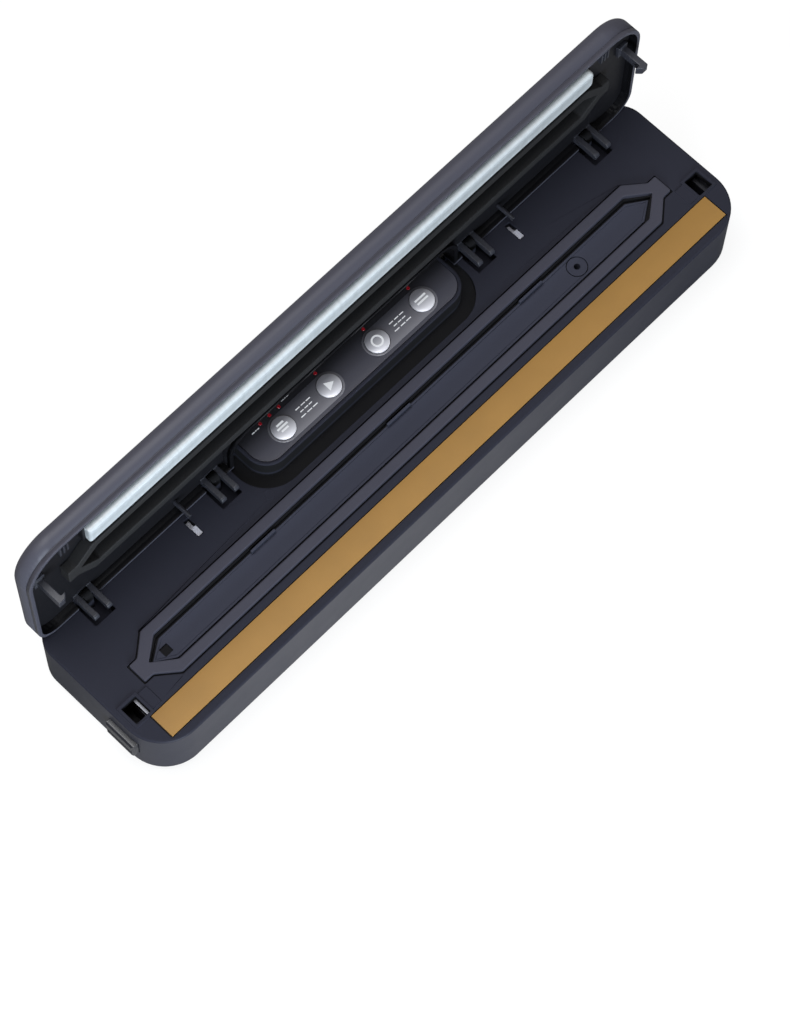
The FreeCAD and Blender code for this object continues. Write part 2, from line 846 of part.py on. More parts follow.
def power_inlet():
    """Two-pin inlet in the rear wall: cup, flange and pins."""
    z = inlet_centre_z()
    width = inlet_width - 2 * inlet_gap
    height = inlet_height - 2 * inlet_gap
    cup = block(inlet_x, rear_y - inlet_depth / 2, width, inlet_depth, z - height / 2, z + height / 2)
    flange_y = rear_y - housing_wall - inlet_flange / 2
    flange_half = height / 2 + inlet_flange_rise
    flange_width = width + 2 * inlet_flange_side
    flange = block(inlet_x, flange_y, flange_width, inlet_flange, z - flange_half, z + flange_half)
    hollow = block(inlet_x, rear_y - inlet_depth / 2 + inlet_wall, width - 2 * inlet_wall, inlet_depth,
                   z - height / 2 + inlet_wall, z + height / 2 - inlet_wall)
    body = fuse([cup, flange]).cut(hollow)
    pins = []
    for side in (-1, 1):
        x = inlet_x + side * inlet_pin_pitch / 2
        root = V(x, rear_y - inlet_depth + inlet_wall, z)
        pins.append(rod(inlet_pin_radius, root, V(x, rear_y - inlet_pin_recess, z)))
    return body, pins


def release_latch():
    """Right-hand release button, its metal catch under the latch hole and its leaf spring."""
    wall_in = base_half - housing_wall
    half = button_length / 2
    near = latch_y - half
    far = latch_y + half
    z0 = button_z - button_height / 2
    z1 = button_z + button_height / 2
    end = base_half + button_proud
    cap = box(wall_in, end, near, far, z0, z1)
    outer_edges = [edge for edge in cap.Edges if edge.BoundBox.XMin > end - same]
    cap = cap.makeFillet(button_edge_round, outer_edges)
    flange_x = wall_in - button_flange_gap
    flange_in = flange_x - button_flange
    flange_top = hook_tip - catch_clear
    flange = block((flange_in + flange_x) / 2, latch_y, button_flange, button_length + 2 * button_flange,
                   z0 - button_flange, flange_top)
    webs = []
    for side in (-1, 1):
        web_y = latch_y + side * (half - button_web / 2)
        webs.append(block(flange_x - button_flange / 2, web_y, button_flange, button_web, flange_top,
                          catch_top - catch_thickness))
    neck = box(flange_in, wall_in, near, far, z0, z1)
    button = fuse([cap, neck, flange] + webs)
    bite_x = latch_x - hook_thickness / 2 - hook_tooth + catch_bite
    window_out = latch_x + hook_thickness / 2 + button_travel + catch_window_gap
    plate = box(bite_x - catch_margin, flange_x, near, far, catch_top - catch_thickness, catch_top)
    window_half = latch_hole_y / 2 + catch_window_gap
    window = box(bite_x, window_out, latch_y - window_half, latch_y + window_half,
                 catch_top - catch_thickness - over, catch_top + over)
    catch = plate.cut(window)
    stop_x = flange_in - button_travel - spring_room
    spring_top = z0 + spring_height
    leaf = box(stop_x, stop_x + spring_leaf, near, far, z0, spring_top)
    touch = box(stop_x, flange_in, near, near + spring_leaf, z0, spring_top)
    spring = fuse([leaf, touch])
    stop = box(stop_x - spring_stop, stop_x, near, far, cover_top, spring_top)
    return button, catch, spring, stop


def lid_switch():
    """Right-hand lid switch under its deck slot, and its plunger with a seat for the lid's pin."""
    bottom = deck_under - switch_body_z
    body = block(switch_x, switch_slot_y, switch_body_x, switch_body_y, bottom, deck_under)
    top = deck_under - plunger_drop
    well_floor = top - plunger_height - plunger_travel - plunger_end_gap
    well = block(switch_x, switch_slot_y, switch_slot_width, switch_slot_length, well_floor,
                 deck_under + over)
    width = switch_slot_width - 2 * plunger_gap
    length = switch_slot_length - 2 * plunger_gap
    seat = block(switch_x, switch_slot_y, width, length, top - plunger_height, top)
    head_y = switch_slot_y - switch_slot_length / 2 + plunger_gap + plunger_head_length / 2
    head = block(switch_x, head_y, width, plunger_head_length, top - plunger_height,
                 deck_height - plunger_head_drop)
    return body.cut(well), fuse([seat, head])


def lid_slab(inset, z0, z1):
    """The lid's outline, drawn closed, less the notch round the control pod."""
    front_round = front_corner - lid_corner_step - inset
    rear_round = rear_corner - lid_rear_inset - inset
    body = slab(lid_half - inset, lid_front + inset, lid_rear - inset, front_round, rear_round, z0, z1)
    return body.cut(lid_notch(inset, z0 - over, z1 + over))


def lid_notch(grow, z0, z1):
    """The cut in the lid's rear edge that clears the control pod."""
    back = lid_rear + pod_corner
    return slab(notch_half + grow, notch_front - grow, back, pod_corner + grow, sharp_corner, z0, z1)


def lid_shell():
    """Outer lid moulding with a rounded roof edge and relief slots over the hinge lugs."""
    front_round = front_corner - lid_corner_step
    rear_round = rear_corner - lid_rear_inset
    outer = slab(lid_half, lid_front, lid_rear, front_round, rear_round, lid_bottom, lid_roof_z)
    outer = outer.makeFillet(lid_edge_round, edges_at(outer, lid_roof_z))
    outer = outer.cut(lid_notch(0, lid_bottom - over, lid_roof_z + over))
    shell = outer.cut(lid_slab(lid_wall, lid_bottom - over, lid_roof_z - lid_roof))
    tools = []
    slot_half = arm_pitch / 2 + arm_width / 2 + pocket_gap
    slot_front = lid_rear - lid_wall - lid_slot_gap
    for x in hinge_x:
        tools.append(box(x - slot_half, x + slot_half, slot_front, lid_rear + over, lid_bottom - over,
                         plate_bottom))
    bosses = []
    for x, y in lid_screw_spots():
        bosses.append(upright(boss_radius, x, y, plate_top, lid_roof_z - lid_roof))
    shell = fuse([cut(shell, tools)] + bosses)
    holes = []
    for x, y in lid_screw_spots():
        holes.append(upright(screw_radius, x, y, plate_top - over, plate_top + lid_screw_depth))
    return cut(shell, holes)


def lid_screw_spots():
    """Where the inner plate is screwed to the lid."""
    spots = []
    for side in (-1, 1):
        for share in lid_screw_shares:
            spots.append((side * base_half * share, gasket_y))
    return spots


def inner_plate():
    """Flat moulding inside the lid that carries gasket, strip, hooks, pins and hinge arms."""
    plate = lid_slab(lid_wall + plate_gap, plate_bottom, plate_top)
    tools = []
    for x, y in lid_screw_spots():
        tools.append(upright(screw_radius + screw_gap, x, y, plate_bottom - over, plate_top + over))
    return cut(plate, tools)


def lid_screws():
    """Screws through the inner plate into the lid's bosses."""
    solids = []
    for x, y in lid_screw_spots():
        head = upright(screw_head_radius, x, y, plate_bottom - screw_head_height, plate_bottom)
        shank = upright(screw_radius, x, y, plate_bottom - screw_head_height, plate_top + lid_screw_reach)
        solids.append(fuse([head, shank]))
    return solids


def upper_gasket():
    """Soft ring in the lid that meets the lower gasket."""
    bottom = deck_height + gasket_proud + upper_gasket_gap
    inset = (gasket_band - upper_gasket_width) / 2
    ring = polygon(gasket_outline(-inset), bottom, plate_bottom)
    return ring.cut(polygon(chamber_outline(inset), bottom - over, plate_bottom + over))


def pressing_strip():
    """Silicone bar with a crowned face, and the channel that holds it."""
    crest = deck_height + strip_proud + press_gap
    root = plate_bottom - press_root
    side = root - press_side
    near = strip_y - press_width / 2
    far = strip_y + press_width / 2
    end = -press_length / 2
    corners = [V(end, near, root), V(end, near, side), V(end, far, side), V(end, far, root)]
    edges = [Part.LineSegment(corners[0], corners[1]).toShape()]
    edges.append(Part.Arc(corners[1], V(end, strip_y, crest), corners[2]).toShape())
    edges.append(Part.LineSegment(corners[2], corners[3]).toShape())
    edges.append(Part.LineSegment(corners[3], corners[0]).toShape())
    strip = Part.Face(Part.Wire(edges)).extrude(V(press_length, 0, 0))
    outer_length = press_length + 2 * press_channel_wall
    outer_width = press_width + 2 * press_channel_wall
    channel = block(0, strip_y, outer_length, outer_width, root - press_channel_hold, plate_bottom)
    groove_bottom = root - press_channel_hold - over
    channel = channel.cut(block(0, strip_y, press_length, press_width, groove_bottom, root))
    return strip, channel


def lid_hooks():
    """Two hooks that drop through the latch holes and bite under the catches."""
    solids = []
    for side in (-1, 1):
        stem = block(side * latch_x, latch_y, hook_thickness, hook_width, hook_tip, plate_bottom)
        x0 = side * (latch_x - hook_thickness / 2)
        x1 = side * (latch_x - hook_thickness / 2 - hook_tooth)
        near = latch_y - hook_width / 2
        profile = [V(x0, near, hook_tooth_top), V(x1, near, hook_tooth_top), V(x0, near, hook_tip)]
        tooth = Part.Face(Part.makePolygon(profile + profile[:1])).extrude(V(0, hook_width, 0))
        foot = block(side * latch_x, latch_y, hook_thickness + 2 * hook_foot, hook_width + 2 * hook_foot,
                     plate_bottom - hook_foot_height, plate_bottom)
        solids.append(fuse([stem, tooth, foot]))
    return solids


def hinge_arms():
    """Four forks: two arms on a shared root, drilled for the hinge pin."""
    solids = []
    tip = hinge_z - arm_reach
    root_top = plate_bottom - fork_root_height()
    for x in hinge_x:
        arms = []
        for side in (-1, 1):
            arm = block(x + side * arm_pitch / 2, hinge_y, arm_width, arm_height, tip, plate_bottom)
            tip_edges = [edge for edge in edges_at(arm, tip) if edge.BoundBox.XLength > arm_width / 2]
            arms.append(arm.makeFillet(arm_height * arm_tip_share, tip_edges))
        root = block(x, hinge_y - fork_root, arm_pitch + arm_width, arm_height + 2 * fork_root, root_top,
                     plate_bottom)
        bore = hinge_rod(hinge_pin_radius, x, arm_pitch)
        eye = hinge_rod(knuckle_radius + knuckle_gap, x, (arm_pitch - arm_width) / 2)
        solids.append(cut(fuse(arms + [root]), [bore, eye]))
    return solids


def fork_root_height():
    """How far a fork's shared root hangs below the inner plate."""
    return max(fork_root_least, plate_bottom - hinge_z - knuckle_radius - knuckle_gap)


def hinge_pins():
    """Four steel pins through the forks and the base's lugs."""
    solids = []
    half = (arm_pitch + arm_width) / 2
    for x in hinge_x:
        solids.append(hinge_rod(hinge_pin_radius, x, half))
    return solids


def switch_pins():
    """Two thin pins that enter the deck slots when the lid shuts."""
    solids = []
    for side in (-1, 1):
        tip = deck_height - switch_pin_reach
        solids.append(upright(switch_pin_radius, side * switch_x, switch_pin_y, tip, plate_bottom))
    return solids


def strip_clips():
    """Ribbed clips beside the ends of the pressing strip."""
    solids = []
    for side in (-1, 1):
        x = side * (press_length / 2 + press_channel_wall + clip_gap)
        ribs = []
        for step in (-1, 0, 1):
            ribs.append(block(x + step * clip_pitch, strip_y, clip_rib, clip_length,
                              plate_bottom - clip_height, plate_bottom))
        ribs.append(block(x, strip_y, 2 * clip_pitch + clip_rib, clip_rib, plate_bottom - clip_height / 2,
                          plate_bottom))
        solids.append(fuse(ribs))
    return solids


os.makedirs("parts", exist_ok=True)

latch_button, latch_catch, latch_spring, latch_stop = release_latch()
cover = fuse([bottom_cover(), latch_stop, mirrored(latch_stop)])
write("base_housing", base_housing())
write("bottom_cover", cover)
write("rubber_feet", feet())
write("cover_screws", cover_screws())

for name, shape in zip(("heater_bar", "heating_ribbon", "heat_strip_tape"), heat_strip()):
    write(name, shape)
write("lower_gasket", lower_gasket())
write("chamber_tray", chamber_tray())
write("suction_port", suction_port())
write("vacuum_hose", vacuum_hose())
for name, shape in zip(("pump_head", "motor_can", "motor_rotor", "pump_eccentric"), pump()):
    write(name, shape)

for name, shape in zip(("panel_overlay", "key_zones"), control_panel()):
    write(name, shape)
for name, x in key_spots:
    write("key_" + name, key(x))
for name, shape in zip(("control_board", "tact_switches", "indicator_lights"), control_board()):
    write(name, shape)
for name, shape in zip(("power_board", "transformer", "capacitor"), power_supply()):
    write(name, shape)
for name, shape in zip(("power_inlet", "inlet_pins"), power_inlet()):
    write(name, shape)

switch_body, switch_plunger = lid_switch()
for side_name, place in (("right", lambda shape: shape), ("left", mirrored)):
    write("release_button_" + side_name, place(latch_button))
    write("latch_catch_" + side_name, place(latch_catch))
    write("button_spring_" + side_name, place(latch_spring))
    write("lid_switch_" + side_name, place(switch_body))
    write("switch_plunger_" + side_name, place(switch_plunger))

write_lid("lid_shell", lid_shell())
write_lid("lid_inner_plate", inner_plate())
write_lid("lid_screws", lid_screws())
write_lid("upper_gasket", upper_gasket())
for name, shape in zip(("pressing_strip", "strip_channel"), pressing_strip()):
    write_lid(name, shape)
write_lid("lid_hooks", lid_hooks())
write_lid("hinge_arms", hinge_arms())
write_lid("hinge_pins", hinge_pins())
write_lid("switch_pins", switch_pins())
write_lid("strip_clips", strip_clips())
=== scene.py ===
"""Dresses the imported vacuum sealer: softened mouldings, keys, marks, woven tape and a plain studio.

Laid out as an add-on and run as a script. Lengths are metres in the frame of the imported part:
+X along the length, -Y towards the user, +Z up, feet on z = 0 and the lid open at rest.
"""
import json
import math
from functools import cache

import bmesh
import bpy
from bpy.props import FloatProperty, FloatVectorProperty, PointerProperty
from mathutils import Matrix, Vector


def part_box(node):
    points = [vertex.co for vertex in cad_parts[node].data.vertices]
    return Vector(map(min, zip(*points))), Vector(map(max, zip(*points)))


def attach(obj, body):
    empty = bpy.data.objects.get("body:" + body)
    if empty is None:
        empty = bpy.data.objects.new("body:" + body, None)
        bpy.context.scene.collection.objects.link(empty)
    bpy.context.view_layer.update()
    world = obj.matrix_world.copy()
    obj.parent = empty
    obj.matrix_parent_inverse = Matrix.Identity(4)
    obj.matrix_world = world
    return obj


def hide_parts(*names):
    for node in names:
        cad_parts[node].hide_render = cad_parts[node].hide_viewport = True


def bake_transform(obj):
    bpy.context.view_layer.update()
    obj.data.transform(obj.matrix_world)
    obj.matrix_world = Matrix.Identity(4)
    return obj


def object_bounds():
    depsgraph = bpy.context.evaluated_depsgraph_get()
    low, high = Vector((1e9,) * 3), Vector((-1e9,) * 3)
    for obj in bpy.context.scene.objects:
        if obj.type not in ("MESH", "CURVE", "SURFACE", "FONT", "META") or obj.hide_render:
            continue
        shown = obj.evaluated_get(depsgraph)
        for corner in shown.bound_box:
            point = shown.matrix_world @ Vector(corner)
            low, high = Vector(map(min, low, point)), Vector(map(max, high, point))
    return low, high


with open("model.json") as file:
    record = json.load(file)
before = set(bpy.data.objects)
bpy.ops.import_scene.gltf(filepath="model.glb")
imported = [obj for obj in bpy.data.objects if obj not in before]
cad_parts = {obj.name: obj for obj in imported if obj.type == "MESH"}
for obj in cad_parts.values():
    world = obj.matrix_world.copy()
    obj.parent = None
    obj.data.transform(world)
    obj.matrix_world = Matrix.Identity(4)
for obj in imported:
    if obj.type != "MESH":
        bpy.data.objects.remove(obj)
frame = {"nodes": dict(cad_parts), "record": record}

bl_info = {
    "name": "Vacuum Sealer Dressing",
    "version": (1, 0, 0),
    "blender": (4, 5, 0),
    "location": "View3D > Sidebar > Sealer",
    "description": "Finishes the packed vacuum sealer and sets it in a plain studio",
    "category": "Object",
}

MM = 0.001
CAD_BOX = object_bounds()
SLOT_OF = {row["node"]: row["material_slot"] for row in frame["record"]["subparts"]}
BODY_OF = {node: body for body, nodes in frame["record"]["behaviour"]["bodies"].items() for node in nodes}

# The photograph's frame and the camera fitted to it
PHOTO_SIZE = (790, 1027)
FOCAL_PIXELS = 3400.0
AIM_PIXEL = (395.7, 410.8)
SENSOR = 36.0
CLIP = (0.05, 20.0)

# The studio's lamps and floor, whose bright pool is placed by shares of the part's low corner
TOP_SPOT, TOP_SIZE = (-0.15, 0.16, 1.3), (0.8, 0.8)
FRONT_SPOT, FRONT_SIZE = (-0.42, -0.7, 0.22), (0.4, 0.3)
PLAIN, COOL = (1.0, 1.0, 1.0), (0.8, 0.9, 1.0)
FLOOR_REACH = 3.0
POOL_PLACE = (0.4, 1.9)
POOL_STRETCH = (0.5, 1.0, 0.0)

# Heights from the deck where the painted shade in recesses is full, where it ends, and where the pod's walls
# start
PAINTED_SHADE_FULL, PAINTED_SHADE_END, POD_FOOT = -0.7 * MM, -0.35 * MM, 1.0 * MM
# How far in from its outer face the lid counts as hollow and takes painted shade, and how matt the deck is
LID_SKIN = 1.0 * MM
DECK_ROUGHNESS = 0.85

# The share of a normal or an edge that counts as lying along an axis, and a sharp edge's angle in degrees
FACING = 0.9
SHARP = 35.0

KEY_NAMES = ("mode", "start", "vacuum", "seal")
SIDES = ("left", "right")


def tone(red, green, blue):
    """A colour given as 8-bit screen values, as Blender's linear colour."""
    linear = []
    for value in (red, green, blue):
        share = value / 255
        linear.append(share / 12.92 if share <= 0.04045 else ((share + 0.055) / 1.055) ** 2.4)
    return (*linear, 1.0)


def number(description, value, **kind):
    """A number among the settings."""
    return FloatProperty(description=description, default=value, **kind)


def length(description, millimetres):
    """A length among the settings."""
    return number(description, millimetres * MM, unit="LENGTH", precision=5)


def colour(description, red, green, blue):
    """A colour among the settings."""
    return FloatVectorProperty(description=description, default=tone(red, green, blue), size=4,
                               subtype="COLOR", min=0.0, max=1.0)


class SealerSizes(bpy.types.PropertyGroup):
    """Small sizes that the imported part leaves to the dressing."""
    deck_height: length("Height of the deck over the table", 33.0)
    deck_edge: length("Plain margin of the deck, outside its recesses", 2.5)
    # The moat's painted shade reaches this far beyond the panel
    moat_shade_reach: length("Reach of the dark moat beyond the panel", 9.0)
    pod_lip: length("Plain lip round the panel", 0.5)
    lid_edge: length("Plain rim of the lid, outside its hollow", 1.6)
    front_corner: length("Corner radius at the front of the case and the lid", 18.0)
    rear_corner: length("Corner radius at the rear of the case", 12.4)
    lid_rear_corner: length("Corner radius at the rear of the lid", 10.3)
    case_round: length("Softening of the case's sharp edges", 0.3)
    lid_round: length("Softening of the lid's sharp edges", 0.3)
    small_round: length("Softening of the smaller mouldings", 0.22)
    gasket_round: length("Softening of the gasket rings", 0.55)
    fine_round: length("Softening of the panel, tape, clips and catches", 0.12)
    strip_corner: length("Rounding of the pressing strip's right end", 2.4)
    strip_crown: length("Rounding of the pressing strip's face", 1.3)
    groove_depth: length("Depth of the lines scored into mouldings", 0.3)
    groove_width: length("Width of the lines scored into mouldings", 0.4)
    rim_drop: length("Distance of the lid's line from its rim", 1.9)
    grip_pitch: length("Spacing of the grip lines on the release buttons", 1.6)
    vent_pitch: length("Spacing of the lines under the motor", 4.0)
    foot_ring: length("Width of the ring round a foot's hollow", 1.3)
    key_dome: length("Rise of a key's middle over its edge", 0.35)
    mark_height: length("Thickness of the printed marks", 0.05)
    mark_width: length("Stroke of the printed marks", 0.42)
    stop_reach: length("Ribs behind the moat, out from the panel's edge", 5.6)
    stop_height: length("Ribs behind the moat, over the deck", 2.7)
    plug_radius: length("Radius of the plug beside the pod", 2.2)


class SealerColours(bpy.types.PropertyGroup):
    """Colours of the finishes."""
    case: colour("Base mouldings", 32, 33, 43)
    # Painted shade: the dark colour laid in the deck's recesses, the moat, on the pod's walls and in the
    # lid's hollow
    painted_shade: colour("Seats and gaps below the deck", 13, 13, 16)
    lid: colour("Lid moulding", 64, 64, 73)
    button: colour("Release buttons", 24, 25, 31)
    inner: colour("Inner lid and fittings", 16, 16, 20)
    fork: colour("Hinge forks and lid pins", 46, 47, 54)
    tray: colour("Tray inside the gasket", 50, 52, 64)
    cover: colour("Bottom cover", 34, 34, 39)
    gasket: colour("Grey gasket ring", 49, 49, 60)
    tape: colour("Non-stick tape over the heater", 134, 99, 45)
    strip: colour("Pale strip in the lid", 172, 178, 181)
    panel: colour("Front of the control panel", 60, 60, 70)
    # Painted shade: the panel goes to this colour towards the back, where the lid's shade falls
    panel_painted_shade: colour("Back of the control panel", 20, 20, 24)
    # Painted light and shade: the printed grey goes from this front colour to the darker back one
    zone: colour("Front of the grey field round a key pair", 112, 111, 118)
    zone_painted_shade: colour("Back of the grey field round a key pair", 60, 60, 67)
    # Painted light and shade: a key goes from the bright colour at its front to the shaded one at its back
    key_painted_light: colour("Bright part of a key", 224, 223, 229)
    key_painted_shade: colour("Shaded part of a key", 124, 124, 131)
    light: colour("Indicator lights", 130, 14, 28)
    mark: colour("Printed marks", 244, 244, 246)
    plunger: colour("Lid switch plungers", 168, 169, 180)
    metal: colour("Steel fittings", 96, 97, 102)


class SealerStudio(bpy.types.PropertyGroup):
    """Lights, floor and camera."""
    floor: colour("Pale floor", 250, 250, 250)
    ambient: number("Light from all round", 0.22, min=0.0)
    glow: number("Share of the floor that stays white", 0.86, max=1.0)
    mirrored: number("Strength of the far floor in reflections", 0.12, max=1.0)
    pool_inner: length("Reach of the bright floor in reflections", 25.0)
    pool_outer: length("Where the bright floor has faded", 105.0)
    top_power: number("Large soft light above", 19.0, unit="POWER")
    front_power: number("Soft light at the front left", 9.0, unit="POWER")
    distance: length("The camera's distance from the deck's middle", 1331.9)
    azimuth: number("The camera's turn round the part", math.radians(-47.77), subtype="ANGLE")
    elevation: number("The camera's rise over the horizon", math.radians(67.82), subtype="ANGLE")
    roll: number("Tilt of the camera's frame", math.radians(2.28), subtype="ANGLE")


def sizes():
    """The scene's size settings."""
    return bpy.context.scene.sealer_sizes


def colours():
    """The scene's colour settings."""
    return bpy.context.scene.sealer_colours


# Node trees

class Graph:
    """Adds and joins nodes in one tree."""

    def __init__(self, tree):
        self.tree = tree

    def add(self, kind, inputs=None, **settings):
        """A node with its settings, its values set and its links made."""
        node = self.tree.nodes.new(kind)
        for name, value in settings.items():
            setattr(node, name, value)
        for name, value in (inputs or {}).items():
            self.feed(node.inputs[name], value)
        return node

    def feed(self, socket, value):
        """A socket joined to another socket, or given a plain value."""
        if isinstance(value, bpy.types.NodeSocket):
            self.tree.links.new(value, socket)
        else:
            socket.default_value = value

    def math(self, operation, first, second=0.0):
        """The result of one sum."""
        return self.add("ShaderNodeMath", {0: first, 1: second}, operation=operation).outputs[0]

    def ramp(self, value, low, high, start=0.0, end=1.0):
        """A value carried from one range to another, held at its ends."""
        inputs = {"Value": value, "From Min": low, "From Max": high, "To Min": start, "To Max": end}
        return self.add("ShaderNodeMapRange", inputs).outputs[0]

    def blend(self, share, first, second):
        """Two colours mixed."""
        node = self.add("ShaderNodeMix", {0: share, 6: first, 7: second}, data_type="RGBA")
        return node.outputs[2]

    def place(self):
        """Object coordinates."""
        return self.add("ShaderNodeTexCoord").outputs["Object"]

    def axes(self):
        """Object coordinates, axis by axis."""
        return self.add("ShaderNodeSeparateXYZ", {0: self.place()}).outputs

    def vector(self, operation, *inputs):
        """The results of one sum of vectors."""
        return self.add("ShaderNodeVectorMath", dict(enumerate(inputs)), operation=operation).outputs

    def swing(self, value, reach, middle=0.5):
        """How far a value lies from its middle, stretched."""
        return self.math("MULTIPLY", self.math("SUBTRACT", value, middle), reach)

    def lit(self, tint, strength):
        """A colour made lighter or darker."""
        return self.add("ShaderNodeHueSaturation", {"Value": strength, "Color": tint}).outputs[0]

    def noise(self, vector, scale, detail=2.0, rough=0.5):
        """A noise value."""
        inputs = {"Vector": vector, "Scale": scale, "Detail": detail, "Roughness": rough}
        return self.add("ShaderNodeTexNoise", inputs).outputs["Fac"]


# Sockets of the node groups that are not plain numbers
SOCKETS = {"Colour": "NodeSocketColor", "Stretch": "NodeSocketVector"}


def open_group(name, inputs, outputs):
    """A new node group with its named sockets: its graph, its inputs and its output node."""
    tree = bpy.data.node_groups.new(name, "ShaderNodeTree")
    for side, labels in (("INPUT", inputs), ("OUTPUT", outputs)):
        for label in labels:
            kind = SOCKETS.get(label, "NodeSocketFloat")
            tree.interface.new_socket(name=label, in_out=side, socket_type=kind)
    graph = Graph(tree)
    return graph, graph.add("NodeGroupInput").outputs, graph.add("NodeGroupOutput").inputs


@cache
def moulded_grain():
    """Spark-eroded plastic: soft mottling, uneven gloss and a fine grain."""
    inputs = ("Colour", "Mottle", "Roughness", "Spread", "Grain")
    graph, given, out = open_group("moulded_grain", inputs, ("Colour", "Roughness", "Height"))
    spot = graph.place()
    broad = graph.noise(spot, scale=22.0, detail=4.0)
    patch = graph.noise(spot, scale=75.0, detail=5.0, rough=0.6)
    fine = graph.noise(spot, given["Grain"], rough=0.6)
    mottled = graph.swing(broad, given["Mottle"])
    speck = graph.swing(fine, given["Mottle"])
    lift = graph.math("ADD", graph.math("ADD", 1.0, mottled), speck)
    uneven = graph.swing(patch, given["Spread"])
    graph.feed(out["Colour"], graph.lit(given["Colour"], lift))
    graph.feed(out["Roughness"], graph.math("ADD", given["Roughness"], uneven))
    graph.feed(out["Height"], fine)
    return graph.tree


@cache
def rolled_streaks():
    """Fine lines drawn along one axis, as on rolled or brushed metal."""
    graph, given, out = open_group("rolled_streaks", ("Stretch", "Colour", "Contrast"), ("Colour", "Height"))
    spot = graph.vector("MULTIPLY", graph.place(), given["Stretch"])[0]
    streak = graph.noise(spot, scale=1.0, detail=4.0, rough=0.65)
    lift = graph.math("ADD", 1.0, graph.swing(streak, given["Contrast"]))
    graph.feed(out["Colour"], graph.lit(given["Colour"], lift))
    graph.feed(out["Height"], streak)
    return graph.tree


@cache
def plain_weave():
    """Over-and-under threads, as on coated glass cloth."""
    graph, given, out = open_group("plain_weave", ("Thread", "Colour", "Contrast"), ("Colour", "Height"))
    axes = graph.axes()
    across = graph.math("SINE", graph.math("MULTIPLY", axes["X"], given["Thread"]))
    along = graph.math("SINE", graph.math("MULTIPLY", axes["Y"], given["Thread"]))
    over = graph.math("GREATER_THAN", graph.math("MULTIPLY", across, along), 0.0)
    warp = graph.math("MULTIPLY", graph.math("ABSOLUTE", across), over)
    weft = graph.math("MULTIPLY", graph.math("ABSOLUTE", along), graph.math("SUBTRACT", 1.0, over))
    height = graph.math("ADD", warp, weft)
    lift = graph.math("ADD", 1.0, graph.swing(height, given["Contrast"], middle=0.6))
    graph.feed(out["Colour"], graph.lit(given["Colour"], lift))
    graph.feed(out["Height"], height)
    return graph.tree


def new_finish(name, **settings):
    """A material with its graph and its shader, constants set on the shader."""
    material = bpy.data.materials.new(name)
    material.use_nodes = True
    shader = material.node_tree.nodes["Principled BSDF"]
    for label, value in settings.items():
        shader.inputs[label.replace("_", " ")].default_value = value
    return material, Graph(material.node_tree), shader.inputs


def use_group(graph, tree, **values):
    """A group placed in a material with its own values."""
    node = graph.add("ShaderNodeGroup")
    node.node_tree = tree
    for label, value in values.items():
        graph.feed(node.inputs[label], value)
    return node.outputs


def bump(graph, shader, height, strength, distance):
    """Height turned into the shader's normal."""
    inputs = {"Height": height, "Strength": strength, "Distance": distance}
    graph.feed(shader["Normal"], graph.add("ShaderNodeBump", inputs).outputs[0])


def inside_outline(graph, node, across, corners, margin):
    """One well inside a node's rounded outline, given the two axes it lies across, and zero outside.

    The corners are the radii at the low and the high end of the second axis.
    """
    axes = graph.axes()
    spans = [[getattr(spot, axis.lower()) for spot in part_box(node)] for axis in across]
    middle = sum(spans[1]) / 2
    corner = graph.ramp(axes[across[1]], middle, middle + MM, *corners)
    legs = []
    for axis, (start, end) in zip(across, spans):
        aside = graph.math("ABSOLUTE", graph.math("SUBTRACT", axes[axis], (start + end) / 2))
        straight = graph.math("SUBTRACT", (end - start) / 2, corner)
        leg = graph.math("MAXIMUM", graph.math("SUBTRACT", aside, straight), 0.0)
        legs.append(graph.math("MULTIPLY", leg, leg))
    reach = graph.math("SQRT", graph.math("ADD", *legs))
    return graph.math("LESS_THAN", reach, graph.math("SUBTRACT", corner, margin))


def within_base(graph):
    """One well inside the base's outline, zero on its outer walls."""
    corners = (sizes().front_corner, sizes().rear_corner)
    return inside_outline(graph, "base_housing", "XY", corners, sizes().deck_edge)


def case_painted_shade(graph):
    """Painted shade mask: one in the deck's recesses and on the pod's walls, zero on the deck's top and the
    outer walls.
    """
    deck = sizes().deck_height
    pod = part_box("panel_overlay")
    axes = graph.axes()
    low = graph.ramp(axes["Z"], deck + PAINTED_SHADE_FULL, deck + PAINTED_SHADE_END, 1.0, 0.0)
    low = graph.math("MULTIPLY", low, within_base(graph))
    ahead = graph.math("LESS_THAN", axes["Y"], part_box("lower_gasket")[1].y + sizes().deck_edge)
    beside = graph.math("LESS_THAN", graph.math("ABSOLUTE", axes["X"]), pod[1].x + sizes().moat_shade_reach)
    low = graph.math("MULTIPLY", low, graph.math("MAXIMUM", ahead, beside))
    over = graph.math("GREATER_THAN", axes["Z"], deck + POD_FOOT)
    under = graph.math("LESS_THAN", axes["Z"], pod[1].z - sizes().pod_lip)
    return graph.math("MAXIMUM", low, graph.math("MULTIPLY", over, under))


def lid_painted_shade(graph):
    """One on the faces of the lid's hollow, where its painted shade goes, zero on its outside."""
    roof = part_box("lid_shell")[1].y
    front = graph.math("LESS_THAN", graph.axes()["Y"], roof - LID_SKIN)
    corners = (sizes().lid_rear_corner, sizes().front_corner)
    return graph.math("MULTIPLY", front, inside_outline(graph, "lid_shell", "XZ", corners, sizes().lid_edge))


def on_deck(graph):
    """One on the deck's top, in its recesses and on all above it, zero on the case's walls."""
    top = graph.math("GREATER_THAN", graph.axes()["Z"], sizes().deck_height - sizes().case_round)
    return graph.math("MAXIMUM", top, within_base(graph))


def grained(graph, shader, **values):
    """Colour and roughness taken from the moulded grain, whose height is handed back."""
    surface = use_group(graph, moulded_grain(), **values)
    graph.feed(shader["Base Color"], surface["Colour"])
    graph.feed(shader["Roughness"], surface["Roughness"])
    return surface["Height"]


